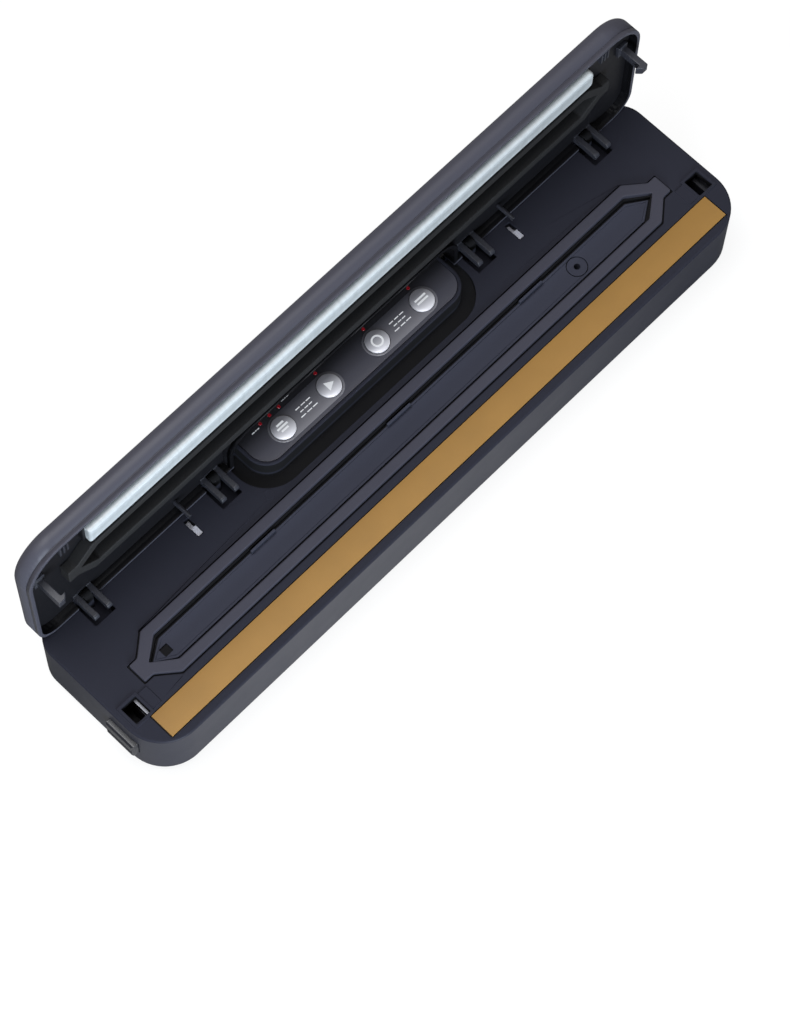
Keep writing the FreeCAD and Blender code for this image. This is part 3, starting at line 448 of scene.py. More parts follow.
def moulded(name, tint, roughness, mottle=0.12, spread=0.12, grain=1900.0, depth=0.12, hollow=None, matt=None,
            **settings):
    """Textured plastic or rubber in one colour, with painted shade in one mask and matt in another where they
    are given.
    """
    material, graph, shader = new_finish(name, **settings)
    if hollow:
        # Painted shade: the mask's faces blend to the dark shade colour
        tint = graph.blend(hollow(graph), tint, colours().painted_shade)
    if matt:
        roughness = graph.ramp(matt(graph), 0.0, 1.0, roughness, DECK_ROUGHNESS)
    height = grained(graph, shader, Colour=tint, Mottle=mottle, Roughness=roughness, Spread=spread,
                     Grain=grain)
    bump(graph, shader, height, depth, distance=0.1 * MM)
    return material


def metal(name, tint, roughness, stretch):
    """Rolled metal with streaks along one axis."""
    material, graph, shader = new_finish(name, Metallic=1.0, Roughness=roughness)
    surface = use_group(graph, rolled_streaks(), Stretch=stretch, Colour=tint, Contrast=0.25)
    graph.feed(shader["Base Color"], surface["Colour"])
    bump(graph, shader, surface["Height"], strength=0.08, distance=0.05 * MM)
    return material


def case_plastic(name):
    """Satin blue-grey moulding of the base, with painted shade in its recesses, its moat and on the pod's
    walls.
    """
    return moulded(name, colours().case, 0.46, mottle=0.1, spread=0.1, hollow=case_painted_shade, matt=on_deck,
                   Specular_IOR_Level=0.2)


def lid_plastic(name):
    """Satin grey moulding of the lid, with painted shade on the faces of its hollow."""
    return moulded(name, colours().lid, 0.46, mottle=0.1, spread=0.1, hollow=lid_painted_shade,
                   Specular_IOR_Level=0.2)


def button_plastic(name):
    """Darker moulding of the release buttons."""
    return moulded(name, colours().button, 0.36, mottle=0.1, Specular_IOR_Level=0.5)


def inner_plastic(name):
    """Dark moulding inside the lid."""
    return moulded(name, colours().inner, 0.5, Specular_IOR_Level=0.3)


def fork_plastic(name):
    """Slightly paler moulding of the hinge forks."""
    return moulded(name, colours().fork, 0.45, Specular_IOR_Level=0.35)


def tray_plastic(name):
    """Blue-grey moulding inside the gasket."""
    return moulded(name, colours().tray, 0.8, mottle=0.1, Specular_IOR_Level=0.14)


def cover_plastic(name):
    """Coarser dark moulding under the base."""
    return moulded(name, colours().cover, 0.58, grain=1200.0, depth=0.25)


def gasket_grey(name):
    """Soft grey silicone."""
    return moulded(name, colours().gasket, 0.75, mottle=0.16, grain=2600.0, depth=0.06,
                   Specular_IOR_Level=0.3)


def gasket_black(name):
    """Black foam rubber with open cells."""
    return moulded(name, tone(17, 17, 19), 0.75, mottle=0.3, grain=1500.0, depth=0.5)


def foot_rubber(name):
    """Matt black rubber."""
    return moulded(name, tone(33, 33, 34), 0.8, mottle=0.2, grain=2200.0, depth=0.3)


def hose_silicone(name):
    """Milky silicone tube."""
    return moulded(name, tone(206, 206, 200), 0.35, mottle=0.08, Subsurface_Weight=0.2)


def strip_silicone(name):
    """Pale satin strip, a little darker along its middle with painted shade and lighter along its long edges
    with painted highlights, with fine lines across it.
    """
    material, graph, shader = new_finish(name, Roughness=0.3)
    surface = use_group(graph, rolled_streaks(), Stretch=(700.0, 60.0, 40.0), Colour=colours().strip,
                        Contrast=0.35)
    low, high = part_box("pressing_strip")
    # Painted shade along the strip's middle and painted highlights along its two long edges
    share = graph.ramp(graph.axes()["Z"], low.z, high.z)
    middle = 0.55
    aside = graph.math("ABSOLUTE", graph.math("SUBTRACT", share, middle))
    lift = graph.ramp(aside, 0.05, 0.5, 0.84, 1.12)
    graph.feed(shader["Base Color"], graph.lit(surface["Colour"], lift))
    bump(graph, shader, surface["Height"], strength=0.05, distance=0.05 * MM)
    return material


def tape_tan(name):
    """Coated glass-cloth tape."""
    material, graph, shader = new_finish(name, Roughness=0.58, Specular_IOR_Level=0.3)
    thread = math.tau / (1.1 * MM)
    surface = use_group(graph, plain_weave(), Thread=thread, Colour=colours().tape, Contrast=0.1)
    cloud = graph.noise(graph.place(), scale=60.0, detail=4.0)
    worn = graph.ramp(cloud, 0.3, 0.7, 0.96, 1.04)
    graph.feed(shader["Base Color"], graph.lit(surface["Colour"], worn))
    bump(graph, shader, surface["Height"], strength=0.12, distance=0.06 * MM)
    return material


def heater_insulation(name):
    """Brown heat-proof laminate."""
    return moulded(name, tone(137, 111, 84), 0.6, mottle=0.3, grain=700.0)


def ribbon_steel(name):
    """Rolled resistance ribbon."""
    return metal(name, tone(203, 200, 195), 0.32, (40.0, 2500.0, 40.0))


def across_key(graph, start, end):
    """A share that goes from the front of a key to its back."""
    low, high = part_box("key_mode")
    middle = (low.y + high.y) / 2
    reach = (high.y - low.y) / 2
    return graph.ramp(graph.axes()["Y"], middle + start * reach, middle + end * reach)


def painted_fade(name, front, back, start, end, grain, **settings):
    """Satin plastic with painted light and shade, going from one colour to another across a key."""
    material, graph, shader = new_finish(name, **settings)
    # Painted light at the front fading to painted shade at the back
    tint = graph.blend(across_key(graph, start, end), front, back)
    grained(graph, shader, Colour=tint, **grain)
    return material


def panel_gloss(name):
    """Satin panel under a thin clear coat, with painted shade darkening it towards the back, where the lid's
    shade falls.
    """
    grain = {"Mottle": 0.08, "Roughness": 0.42, "Spread": 0.14, "Grain": 900.0}
    return painted_fade(name, colours().panel, colours().panel_painted_shade, -0.4, 1.5, grain,
                 Coat_Weight=0.08, Coat_Roughness=0.2, Specular_IOR_Level=0.35)


def key_silver(name):
    """Silvered key face with painted light at its front and painted shade towards the back."""
    grain = {"Mottle": 0.05, "Roughness": 0.34, "Spread": 0.1, "Grain": 1500.0}
    return painted_fade(name, colours().key_painted_light, colours().key_painted_shade, -0.75, 0.5, grain,
                 Metallic=0.1, Coat_Weight=0.12, Coat_Roughness=0.15)


def zone_grey(name):
    """Grey printed field, lighter at the front with painted light and darker towards the back with painted
    shade.
    """
    grain = {"Mottle": 0.08, "Roughness": 0.36, "Spread": 0.1, "Grain": 2400.0}
    return painted_fade(name, colours().zone, colours().zone_painted_shade, -0.9, 0.9, grain,
                 Coat_Weight=0.08, Coat_Roughness=0.2)


def light_red(name):
    """Red lens with a faint glow."""
    material, graph, shader = new_finish(name, Roughness=0.15, Emission_Strength=0.25, Coat_Weight=0.5)
    cloud = graph.noise(graph.place(), scale=1200.0)
    tint = graph.lit(colours().light, graph.ramp(cloud, 0.3, 0.7, 0.8, 1.2))
    graph.feed(shader["Base Color"], tint)
    graph.feed(shader["Emission Color"], tint)
    return material


def print_white(name):
    """Pale printing ink."""
    return moulded(name, colours().mark, 0.5, mottle=0.1, grain=3000.0, depth=0.05)


def steel(name):
    """Bright steel."""
    return metal(name, colours().metal, 0.42, (1800.0, 60.0, 60.0))


def motor_steel(name):
    """Plated motor can."""
    return metal(name, tone(188, 188, 186), 0.35, (60.0, 900.0, 900.0))


def pump_plastic(name):
    """Dark moulding of the pump."""
    return moulded(name, tone(46, 47, 50), 0.5)


def board_green(name):
    """Green board with paler tracks."""
    material, graph, shader = new_finish(name, Roughness=0.4, Coat_Weight=0.3)
    inputs = {"Vector": graph.place(), "Scale": 260.0, "Randomness": 0.35}
    cells = graph.add("ShaderNodeTexVoronoi", inputs, feature="DISTANCE_TO_EDGE", distance="EUCLIDEAN")
    track = graph.ramp(cells.outputs["Distance"], 0.02, 0.06, 1.0, 0.0)
    tint = graph.blend(track, tone(28, 92, 52), tone(86, 148, 82))
    graph.feed(shader["Base Color"], tint)
    bump(graph, shader, track, strength=0.2, distance=0.04 * MM)
    return material


def switch_plastic(name):
    """Black switch moulding."""
    return moulded(name, tone(36, 36, 39), 0.45)


def plunger_grey(name):
    """Pale grey plunger."""
    return moulded(name, colours().plunger, 0.45, mottle=0.1)


def coil_yellow(name):
    """Taped transformer coil."""
    return moulded(name, tone(204, 168, 66), 0.4, mottle=0.25, grain=500.0)


def brass(name):
    """Brass pins."""
    return metal(name, tone(206, 176, 104), 0.3, (900.0, 60.0, 900.0))


FINISHES = {
    maker.__name__: maker
    for maker in (
        case_plastic, lid_plastic, button_plastic, inner_plastic, fork_plastic, tray_plastic, cover_plastic,
        gasket_grey, gasket_black, foot_rubber, hose_silicone, strip_silicone, tape_tan, heater_insulation,
        ribbon_steel, panel_gloss, key_silver, zone_grey, light_red, print_white, steel, motor_steel,
        pump_plastic, board_green, switch_plastic, plunger_grey, coil_yellow, brass,
    )
}


@cache
def finished(name):
    """The named finish, made once."""
    return FINISHES[name]("sealer_" + name)


# Modelling helpers

def take(piece):
    """Makes one object the only selected and active one."""
    bpy.ops.object.select_all(action="DESELECT")
    piece.select_set(True)
    bpy.context.view_layer.objects.active = piece
    return piece


def edit(piece):
    """Opens one object in edit mode with everything selected."""
    take(piece)
    bpy.ops.object.mode_set(mode="EDIT")
    bpy.ops.mesh.select_all(action="SELECT")


def close():
    """Back to object mode."""
    bpy.ops.object.mode_set(mode="OBJECT")


def pick(piece, kind, test):
    """Selects the faces or edges that pass a test on their centre and normal, in edit mode."""
    bpy.ops.mesh.select_mode(type=kind)
    bpy.ops.mesh.select_all(action="DESELECT")
    mesh = bmesh.from_edit_mesh(piece.data)
    if kind == "FACE":
        for face in mesh.faces:
            face.select_set(test(face.calc_center_median(), face.normal))
    else:
        for edge in mesh.edges:
            start, end = (vert.co for vert in edge.verts)
            edge.select_set(test((start + end) / 2, (end - start).normalized()))
    bmesh.update_edit_mesh(piece.data)


def add_modifier(piece, kind, **settings):
    """A modifier added and applied."""
    take(piece)
    modifier = piece.modifiers.new(kind.title(), kind)
    for name, value in settings.items():
        setattr(modifier, name, value)
    bpy.ops.object.modifier_apply(modifier=modifier.name)


def soften(piece, width, segments=2):
    """Rounds every sharp edge by a small bevel and shades the result."""
    add_modifier(piece, "BEVEL", width=width, segments=segments, limit_method="ANGLE",
                 angle_limit=math.radians(SHARP), use_clamp_overlap=False, miter_outer="MITER_ARC")
    shade(piece)
    add_modifier(piece, "WEIGHTED_NORMAL", weight=60, keep_sharp=True)


def shade(piece, angle=SHARP):
    """Smooth shading across all but sharp edges."""
    take(piece)
    bpy.ops.object.shade_smooth_by_angle(angle=math.radians(angle))


def bake(piece):
    """Puts an object's place, turn and size into its mesh."""
    take(piece)
    bpy.ops.object.transform_apply(location=True, rotation=True, scale=True)
    return piece


def weld_copy(node):
    """A copy of one CAD node with its vertices merged and its own normals cleared."""
    piece = bpy.data.objects.new(node + "_copy", frame["nodes"][node].data.copy())
    bpy.context.scene.collection.objects.link(piece)
    take(piece)
    bpy.ops.mesh.customdata_custom_splitnormals_clear()
    edit(piece)
    bpy.ops.mesh.remove_doubles(threshold=0.002 * MM)
    close()
    return piece


def settle(piece, name, body, slot, nodes=(), look=None):
    """Bakes, names and finishes a piece and hangs it on the frame, or leaves it off the frame where no body
    is given.
    """
    bake(piece)
    piece.name = name
    piece.data.name = name
    piece.data.materials.clear()
    piece.data.materials.append(finished(look or slot))
    if body:
        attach(piece, body)
    if nodes:
        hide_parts(*nodes)
    return piece


def dress(node, name, width, segments=2, look=None):
    """A softened copy of one CAD node, in that node's own finish or another."""
    piece = weld_copy(node)
    soften(piece, width, segments)
    return settle(piece, name, BODY_OF[node], SLOT_OF[node], [node], look)


def score(piece, axis, spots, test):
    """Thin grooves cut across one axis into the faces that pass a test."""
    half = sizes().groove_width / 2
    line = Vector((0.0, 0.0, 0.0))
    line[axis] = 1.0
    edit(piece)
    for spot in spots:
        for cut in (spot - half, spot + half):
            bpy.ops.mesh.select_all(action="SELECT")
            bpy.ops.mesh.bisect(plane_co=line * cut, plane_no=line)
        pick(piece, "FACE", lambda centre, normal: abs(centre[axis] - spot) < half and test(centre, normal))
        bpy.ops.mesh.extrude_region_shrink_fatten(TRANSFORM_OT_shrink_fatten={"value": -sizes().groove_depth})
    close()
    shade(piece)


def add_drum(radius, low, high, x, y, vertices=48):
    """A cylinder between two heights."""
    bpy.ops.mesh.primitive_cylinder_add(vertices=vertices, radius=radius, depth=high - low,
                                        location=(x, y, (low + high) / 2))
    return bpy.context.object


def add_block(low, high):
    """A block between two corners."""
    low, high = Vector(low), Vector(high)
    bpy.ops.mesh.primitive_cube_add(size=1.0, location=(low + high) / 2, scale=high - low)
    return bpy.context.object


def add_bar(x0, x1, y, top):
    """One printed dash on a flat face."""
    half = sizes().mark_width / 2
    rise = sizes().mark_height
    return add_block((x0, y - half, top - rise), (x1, y + half, top + rise))


def join(pieces):
    """Several objects as one."""
    take(pieces[0])
    for piece in pieces[1:]:
        piece.select_set(True)
    if len(pieces) > 1:
        bpy.ops.object.join()
    return pieces[0]


# Operators

class Step:
    """What every step of the dressing does as an operator."""

    def execute(self, context):
        self.build()
        return {"FINISHED"}


class SEALER_OT_stage(Step, bpy.types.Operator):
    """Floor, soft lights and the camera at the photograph's angle."""
    bl_idname = "sealer.stage"
    bl_label = "Stage"

    def build(self):
        scene = bpy.context.scene
        studio = scene.sealer_studio
        self.floor(studio)
        self.world(scene, studio)
        low, high = CAD_BOX
        corner = Vector((low.x, low.y, high.z / 4))
        self.lamp("top_light", TOP_SPOT, TOP_SIZE, studio.top_power, Vector(), PLAIN)
        self.lamp("front_light", FRONT_SPOT, FRONT_SIZE, studio.front_power, corner, COOL)
        self.camera(scene, studio)
        scene.view_settings.view_transform = "Standard"

    def floor(self, studio):
        """A wide floor that reads white and keeps the shadow, and is brightest in its pool in reflections."""
        bpy.ops.mesh.primitive_plane_add(size=2 * FLOOR_REACH)
        floor = bpy.context.object
        floor.name = "floor"
        material, graph, shader = new_finish("studio_floor", Roughness=0.9)
        shader["Base Color"].default_value = studio.floor
        tree = material.node_tree
        path = graph.add("ShaderNodeLightPath").outputs
        away = graph.vector("SUBTRACT", graph.place(), self.pool())[0]
        flat = graph.vector("MULTIPLY", away, POOL_STRETCH)[0]
        reach = graph.vector("LENGTH", flat)["Value"]
        fading = graph.ramp(reach, studio.pool_inner, studio.pool_outer, 1.0, studio.mirrored)
        strength = graph.ramp(path["Is Glossy Ray"], 0.0, 1.0, 1.0, fading)
        glow = graph.add("ShaderNodeEmission", {"Color": (1.0, 1.0, 1.0, 1.0), "Strength": strength})
        seen = graph.math("MAXIMUM", path["Is Camera Ray"], path["Is Glossy Ray"])
        seen = graph.math("MAXIMUM", seen, path["Is Transmission Ray"])
        share = graph.math("MULTIPLY", seen, studio.glow)
        mixed = graph.add("ShaderNodeMixShader", {0: share, 1: tree.nodes["Principled BSDF"].outputs[0],
                                                  2: glow.outputs[0]})
        graph.feed(tree.nodes["Material Output"].inputs["Surface"], mixed.outputs[0])
        floor.data.materials.append(material)

    def pool(self):
        """Where the floor is brightest in reflections: just in front of the base's left half."""
        low = CAD_BOX[0]
        return (POOL_PLACE[0] * low.x, POOL_PLACE[1] * low.y, 0.0)

    def world(self, scene, studio):
        """Even pale light, white where it is seen."""
        world = bpy.data.worlds.new("studio")
        world.use_nodes = True
        scene.world = world
        graph = Graph(world.node_tree)
        path = graph.add("ShaderNodeLightPath").outputs
        seen = graph.math("MAXIMUM", path["Is Camera Ray"], path["Is Transmission Ray"])
        strength = graph.ramp(seen, 0.0, 1.0, studio.ambient, 1.0)
        back = world.node_tree.nodes["Background"]
        back.inputs["Color"].default_value = (1.0, 1.0, 1.0, 1.0)
        graph.feed(back.inputs["Strength"], strength)

    def lamp(self, name, spot, size, power, aim, tint):
        """A soft box that faces a point of the part."""
        data = bpy.data.lights.new(name, "AREA")
        data.shape = "RECTANGLE"
        data.size, data.size_y = size
        data.energy = power
        data.color = tint
        lamp = bpy.data.objects.new(name, data)
        bpy.context.scene.collection.objects.link(lamp)
        lamp.location = spot
        lamp.rotation_mode = "QUATERNION"
        lamp.rotation_quaternion = (aim - Vector(spot)).to_track_quat("-Z", "Y")

    def camera(self, scene, studio):
        """The camera fitted to the photograph."""
        turn, rise, roll = studio.azimuth, studio.elevation, studio.roll
        back = Vector((math.sin(turn) * math.cos(rise), -math.cos(turn) * math.cos(rise), math.sin(rise)))
        level = Vector((math.cos(turn), math.sin(turn), 0.0))
        upright = back.cross(level)
        right = level * math.cos(roll) + upright * math.sin(roll)
        up = upright * math.cos(roll) - level * math.sin(roll)
        per_pixel = studio.distance / FOCAL_PIXELS
        aim = Vector((0.0, 0.0, sizes().deck_height))
        aside = (AIM_PIXEL[0] - PHOTO_SIZE[0] / 2) * per_pixel
        below = (AIM_PIXEL[1] - PHOTO_SIZE[1] / 2) * per_pixel
        spot = aim + back * studio.distance - right * aside + up * below
        data = bpy.data.cameras.new("photo_camera")
        data.sensor_width = SENSOR
        data.lens = FOCAL_PIXELS / max(PHOTO_SIZE) * SENSOR
        data.clip_start, data.clip_end = CLIP
        camera = bpy.data.objects.new("photo_camera", data)
        scene.collection.objects.link(camera)
        turned = Matrix((right, up, back)).transposed().to_4x4()
        camera.matrix_world = Matrix.Translation(spot) @ turned
        scene.camera = camera


class SEALER_OT_carried_nodes(Step, bpy.types.Operator):
    """Finishes for the CAD nodes that stay as they are."""
    bl_idname = "sealer.carried_nodes"
    bl_label = "Carried nodes"

    def build(self):
        for node, piece in frame["nodes"].items():
            piece.data.materials.clear()
            piece.data.materials.append(finished(SLOT_OF[node]))


class SEALER_OT_base_shell(Step, bpy.types.Operator):
    """Base moulding with softened edges, the dark stops behind its moat that stand in for shade, and the plug
    in its deck.
    """
    bl_idname = "sealer.base_shell"
    bl_label = "Base shell"

    def build(self):
        dress("base_housing", "base_shell", sizes().case_round)
        self.stops()
        self.plug()

    def stops(self):
        """Low ribs in the dark inner finish on the rear edge that close the ends of the moat, inside the
        lid's notch; a dark piece standing in for the shade there, hiding the floor behind.
        """
        deck = sizes().deck_height
        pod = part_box("panel_overlay")[1].x
        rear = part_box("base_housing")[1].y
        gap, root = 1.8 * MM, 1.0 * MM
        front, back = rear - 1.7 * MM, rear - 0.2 * MM
        inner, outer = pod + gap, pod + sizes().stop_reach
        ribs = []
        for start, end in ((-outer, -inner), (inner, outer)):
            ribs.append(add_block((start, front, deck - root), (end, back, deck + sizes().stop_height)))
        stops = bake(join(ribs))
        soften(stops, sizes().small_round)
        settle(stops, "moat_shade_stops", "base", "inner_plastic")

    def plug(self):
        """A small flush plug with a grooved face, in front of the pod's left end."""
        radius = sizes().plug_radius
        aside, ahead = 1.9 * radius, 2.4 * radius
        proud, depth = 0.12 * MM, 0.6 * MM
        rim, groove = 0.22 * radius, 0.08 * radius
        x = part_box("panel_overlay")[0].x - aside
        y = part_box("lower_gasket")[1].y + ahead
        top = sizes().deck_height + proud
        plug = add_drum(radius, top - depth, top, x, y)
        edit(plug)
        pick(plug, "FACE", lambda centre, normal: normal.z > FACING)
        bpy.ops.mesh.inset(thickness=rim)
        bpy.ops.mesh.inset(thickness=groove, depth=-0.1 * MM)
        close()
        soften(plug, width=0.06 * MM)
        settle(plug, "deck_plug", "base", "case_plastic")


class SEALER_OT_heat_strip(Step, bpy.types.Operator):
    """Woven tape over the heater, its long edges pressed down."""
    bl_idname = "sealer.heat_strip"
    bl_label = "Heat strip"

    def build(self):
        low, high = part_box("heat_strip_tape")
        tape = bake(add_block(low, high))
        edit(tape)
        pick(tape, "EDGE", lambda centre, line: abs(line.x) > FACING and centre.z > (low.z + high.z) / 2)
        bpy.ops.mesh.bevel(offset=sizes().fine_round, segments=3)
        close()
        shade(tape)
        settle(tape, "heat_tape", "base", "tape_tan", ["heat_strip_tape"])


class SEALER_OT_gaskets(Step, bpy.types.Operator):
    """Both gasket rings with rounded sections, the tray inside the lower one and its suction port."""
    bl_idname = "sealer.gaskets"
    bl_label = "Gaskets"

    def build(self):
        dress("lower_gasket", "lower_gasket_ring", sizes().gasket_round, segments=3)
        dress("upper_gasket", "upper_gasket_ring", sizes().gasket_round, segments=3)
        dress("chamber_tray", "drip_tray", sizes().small_round, look="tray_plastic")
        dress("suction_port", "suction_spout", sizes().small_round, look="tray_plastic")


class SEALER_OT_control_panel(Step, bpy.types.Operator):
    """Satin panel, grey key zones and the small printed marks."""
    bl_idname = "sealer.control_panel"
    bl_label = "Control panel"

    def build(self):
        dress("panel_overlay", "panel_face", sizes().fine_round)
        dress("key_zones", "key_fields", width=0.05 * MM)
        marks = join(self.lines() + self.ticks())
        shade(marks)
        settle(marks, "panel_marks", "base", "zone_grey", look="print_white")

    def lines(self):
        """Three short broken lines between the keys of each pair."""
        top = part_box("key_zones")[1].z
        pitch, dash = 1.9 * MM, 0.27
        # Each row's step from the middle, and its share of the gap between the keys
        shares = ((1, 0.62), (0, 0.5), (-1, 0.7))
        bars = []
        for first, second in (("key_mode", "key_start"), ("key_vacuum", "key_seal")):
            low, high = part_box(first)
            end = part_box(second)[0].x
            for row, share in shares:
                span = (end - high.x) * share
                y = (low.y + high.y) / 2 + pitch * row
                for part in (0.0, 0.36, 0.7):
                    x0 = (high.x + end - span) / 2 + span * part
                    bars.append(add_bar(x0, x0 + dash * span, y, top))
        return bars

    def ticks(self):
        """A short broken line beside each of the three lights over the first key."""
        low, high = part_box("key_mode")
        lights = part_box("indicator_lights")
        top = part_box("panel_overlay")[1].z
        bars = []
        # Millimetres from the key's middle and the lights' middle, then along each line
        spots = ((-8.6, -1.0), (-2.0, 2.3), (9.2, 1.0))
        dashes = ((-1.9, -0.5), (-0.2, 0.6), (0.9, 1.9))
        for aside, rise in spots:
            x = (low.x + high.x) / 2 + aside * MM
            y = (lights[0].y + lights[1].y) / 2 + rise * MM
            for start, end in dashes:
                bars.append(add_bar(x + start * MM, x + end * MM, y, top))
        return bars


class SEALER_OT_keys(Step, bpy.types.Operator):
    """Four domed keys, each with a plain symbol."""
    bl_idname = "sealer.keys"
    bl_label = "Keys"

    def build(self):
        for name in KEY_NAMES:
            self.cap("key_" + name)
        self.mark("key_mode", self.bars(((2.0, 3.6), (0.5, 5.4), (-1.0, 3.6))))
        self.mark("key_start", [self.symbol(corners=3, radius=2.5)])
        self.mark("key_vacuum", [self.ring(outer=2.6, inner=1.8)])
        self.mark("key_seal", self.bars(((1.2, 5.8), (-0.4, 5.8))))

    def cap(self, node):
        """A flanged drum whose face rises to a shallow dome."""
        low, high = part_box(node)
        x, y = (low.x + high.x) / 2, (low.y + high.y) / 2
        flange_radius = (high.x - low.x) / 2
        flange = 1.0 * MM
        radius = flange_radius - flange
        dome = sizes().key_dome
        key = add_drum(flange_radius, low.z, low.z + flange, x, y, vertices=64)
        edit(key)
        pick(key, "FACE", lambda centre, normal: normal.z > FACING)
        bpy.ops.mesh.inset(thickness=flange)
        step = high.z - dome - low.z - flange
        bpy.ops.mesh.extrude_region_move(TRANSFORM_OT_translate={"value": (0.0, 0.0, step)})
        ring = 0.12 * radius
        for share in (0.42, 0.26, 0.18, 0.1, 0.04):
            bpy.ops.mesh.inset(thickness=ring)
            bpy.ops.transform.translate(value=(0.0, 0.0, dome * share))
            ring = 0.17 * radius
        close()
        shade(key, angle=40.0)
        settle(key, node + "_cap", BODY_OF[node], "key_silver", [node])

    def bars(self, rows):
        """Flat bars across the middle of a key, each given by its place and length."""
        half = sizes().mark_width
        depth = 2 * sizes().mark_height
        blocks = []
        for rise, reach in rows:
            low = (-reach * MM / 2, rise * MM - half, -depth)
            blocks.append(add_block(low, (reach * MM / 2, rise * MM + half, 0.0)))
        return blocks

    def symbol(self, corners, radius):
        """A flat shape of equal sides, pointing along the row of keys."""
        shape = add_drum(radius * MM, -2 * sizes().mark_height, 0.0, 0.0, 0.0, corners)
        bpy.ops.transform.rotate(value=math.radians(90.0), orient_axis="Z", center_override=(0.0, 0.0, 0.0))
        return shape

    def ring(self, outer, inner):
        """A flat ring."""
        depth = 2 * sizes().mark_height
        shape = add_drum(outer * MM, -depth, 0.0, 0.0, 0.0)
        edit(shape)
        pick(shape, "FACE", lambda centre, normal: abs(normal.z) > FACING)
        bpy.ops.mesh.inset(thickness=(outer - inner) * MM)
        bpy.ops.mesh.bridge_edge_loops()
        close()
        return shape

    def mark(self, node, shapes):
        """A symbol laid on the crown of one key."""
        low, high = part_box(node)
        shape = bake(join(shapes))
        shape.location = ((low.x + high.x) / 2, (low.y + high.y) / 2, high.z + sizes().mark_height)
        shade(shape)
        settle(shape, node + "_mark", BODY_OF[node], "key_silver", look="print_white")


class SEALER_OT_lights(Step, bpy.types.Operator):
    """Six small domed lenses."""
    bl_idname = "sealer.lights"
    bl_label = "Lights"

    def build(self):
        dress("indicator_lights", "light_lenses", width=0.3 * MM, segments=4)


class SEALER_OT_latches(Step, bpy.types.Operator):
    """Release buttons with grip lines, their springs and catches, and the lid switch plungers."""
    bl_idname = "sealer.latches"
    bl_label = "Latches"

    def build(self):
        for side in SIDES:
            self.button("release_button_" + side, "release_key_" + side)
            self.spring("button_spring_" + side, "return_spring_" + side, "release_button_" + side)
            dress("latch_catch_" + side, "catch_plate_" + side, sizes().fine_round)
            dress("switch_plunger_" + side, "lid_plunger_" + side, width=0.15 * MM)

    def button(self, node, name):
        """A softened button with three lines across its outer face."""
        low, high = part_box(node)
        outward = 1.0 if high.x > -low.x else -1.0
        face = max(high.x, -low.x)
        piece = dress(node, name, sizes().small_round, look="button_plastic")
        middle = (low.z + high.z) / 2
        spots = [middle + step * sizes().grip_pitch for step in (-1, 0, 1)]
        skin = 0.5 * MM

        def outer(centre, normal):
            return normal.x * outward > FACING and abs(centre.x) > face - skin

        score(piece, 2, spots, outer)

    def spring(self, node, name, button):
        """A softened copy of the leaf spring that is held in the case at one end; it hangs on no body, and
        its place is baked into its mesh.
        """
        piece = weld_copy(node)
        soften(piece, width=0.08 * MM)
        settle(piece, name, None, SLOT_OF[node], [node])
        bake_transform(piece)


class SEALER_OT_lid(Step, bpy.types.Operator):
    """Lid moulding with a line round its rim, inner plate, hooks, clips, forks and pins."""
    bl_idname = "sealer.lid"
    bl_label = "Lid"

    def build(self):
        self.cover()
        dress("lid_inner_plate", "lid_liner", sizes().small_round)
        dress("strip_channel", "strip_holder", sizes().small_round)
        dress("strip_clips", "strip_end_clips", sizes().fine_round, look="fork_plastic")
        dress("lid_hooks", "lid_latch_hooks", width=0.5 * MM, segments=3, look="fork_plastic")
        dress("hinge_pins", "hinge_axles", width=0.2 * MM, look="fork_plastic")
        dress("hinge_arms", "hinge_forks", width=0.35 * MM, segments=3, look="fork_plastic")
        dress("switch_pins", "lid_pins", width=0.3 * MM, segments=3, look="fork_plastic")

    def cover(self):
        """The moulding, scored round its outer walls near the rim."""
        low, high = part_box("lid_shell")
        middle = (low + high) / 2
        piece = dress("lid_shell", "lid_cover", sizes().lid_round)

        def outer(centre, normal):
            away = centre - middle
            return abs(normal.y) < 0.3 and normal.x * away.x + normal.z * away.z > 0.0

        score(piece, 1, [low.y + sizes().rim_drop], outer)


class SEALER_OT_pressing_strip(Step, bpy.types.Operator):
    """Pale crowned strip in the lid, square at its left end and rounded at its right."""
    bl_idname = "sealer.pressing_strip"
    bl_label = "Pressing strip"

    def build(self):
        low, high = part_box("pressing_strip")
        near = 0.01 * MM
        strip = bake(add_block(low, high))
        edit(strip)
        pick(strip, "EDGE", lambda centre, line: abs(line.y) > FACING and centre.x > high.x - near)
        bpy.ops.mesh.bevel(offset=sizes().strip_corner, segments=6)
        pick(strip, "EDGE", lambda centre, line: centre.y < low.y + near)
        bpy.ops.mesh.bevel(offset=sizes().strip_crown, segments=5)
        close()
        shade(strip)
        settle(strip, "seal_strip", BODY_OF["pressing_strip"], "strip_silicone", ["pressing_strip"])


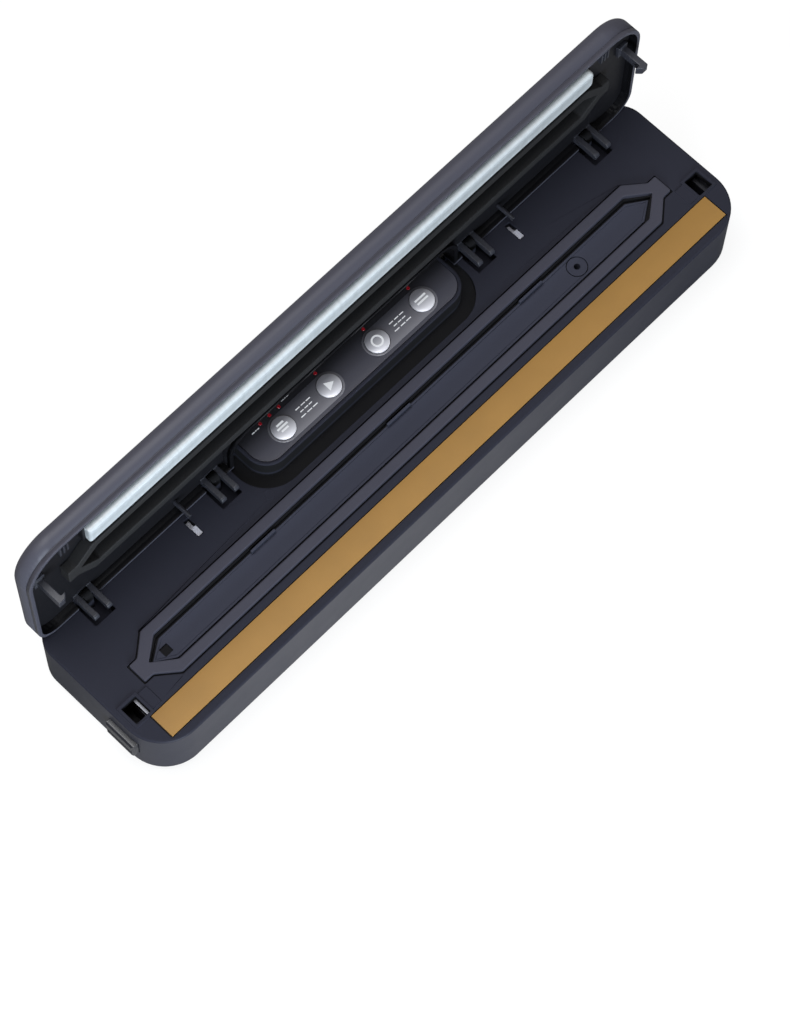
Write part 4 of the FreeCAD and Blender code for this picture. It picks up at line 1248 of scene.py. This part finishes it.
class SEALER_OT_underside(Step, bpy.types.Operator):
    """Bottom cover with lines under the motor, hollow feet and the inlet."""
    bl_idname = "sealer.underside"
    bl_label = "Underside"

    def build(self):
        self.cover()
        self.feet()
        dress("power_inlet", "inlet_cup", sizes().small_round)

    def cover(self):
        """The cover, scored under the motor."""
        low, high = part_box("motor_can")
        piece = dress("bottom_cover", "base_cover", sizes().small_round)
        count = int((high.x - low.x) / sizes().vent_pitch)
        spots = [low.x + (step + 0.5) * sizes().vent_pitch for step in range(count)]
        for cut in (low.y, high.y):
            edit(piece)
            bpy.ops.mesh.bisect(plane_co=(0.0, cut, 0.0), plane_no=(0.0, 1.0, 0.0))
            close()
        score(piece, 0, spots, lambda centre, normal: normal.z < -FACING and low.y < centre.y < high.y)

    def feet(self):
        """Rubber feet with a shallow hollow."""
        hollow = 0.4 * MM
        feet = weld_copy("rubber_feet")
        edit(feet)
        pick(feet, "FACE", lambda centre, normal: normal.z < -0.99)
        bpy.ops.mesh.inset(thickness=sizes().foot_ring)
        bpy.ops.transform.translate(value=(0.0, 0.0, hollow))
        close()
        soften(feet, width=0.25 * MM, segments=3)
        settle(feet, "feet", "base", "foot_rubber", ["rubber_feet"])


OPERATORS = (
    SEALER_OT_stage,
    SEALER_OT_carried_nodes,
    SEALER_OT_base_shell,
    SEALER_OT_heat_strip,
    SEALER_OT_gaskets,
    SEALER_OT_control_panel,
    SEALER_OT_keys,
    SEALER_OT_lights,
    SEALER_OT_latches,
    SEALER_OT_lid,
    SEALER_OT_pressing_strip,
    SEALER_OT_underside,
)


class SEALER_PT_dressing(bpy.types.Panel):
    """Lists the steps in the 3D view's sidebar."""
    bl_idname = "SEALER_PT_dressing"
    bl_label = "Vacuum sealer"
    bl_space_type = "VIEW_3D"
    bl_region_type = "UI"
    bl_category = "Sealer"

    def draw(self, context):
        for operator in OPERATORS:
            self.layout.operator(operator.bl_idname)


CLASSES = (SealerSizes, SealerColours, SealerStudio) + OPERATORS + (SEALER_PT_dressing,)


def register():
    """Registers the classes and hangs the settings on the scene."""
    for item in CLASSES:
        bpy.utils.register_class(item)
    bpy.types.Scene.sealer_sizes = PointerProperty(type=SealerSizes)
    bpy.types.Scene.sealer_colours = PointerProperty(type=SealerColours)
    bpy.types.Scene.sealer_studio = PointerProperty(type=SealerStudio)


def unregister():
    """Takes the settings and classes away."""
    del bpy.types.Scene.sealer_studio
    del bpy.types.Scene.sealer_colours
    del bpy.types.Scene.sealer_sizes
    for item in reversed(CLASSES):
        bpy.utils.unregister_class(item)


def main():
    """Runs every step in order."""
    register()
    for operator in OPERATORS:
        group, step = operator.bl_idname.split(".")
        getattr(getattr(bpy.ops, group), step)()


if __name__ == "__main__":
    main()
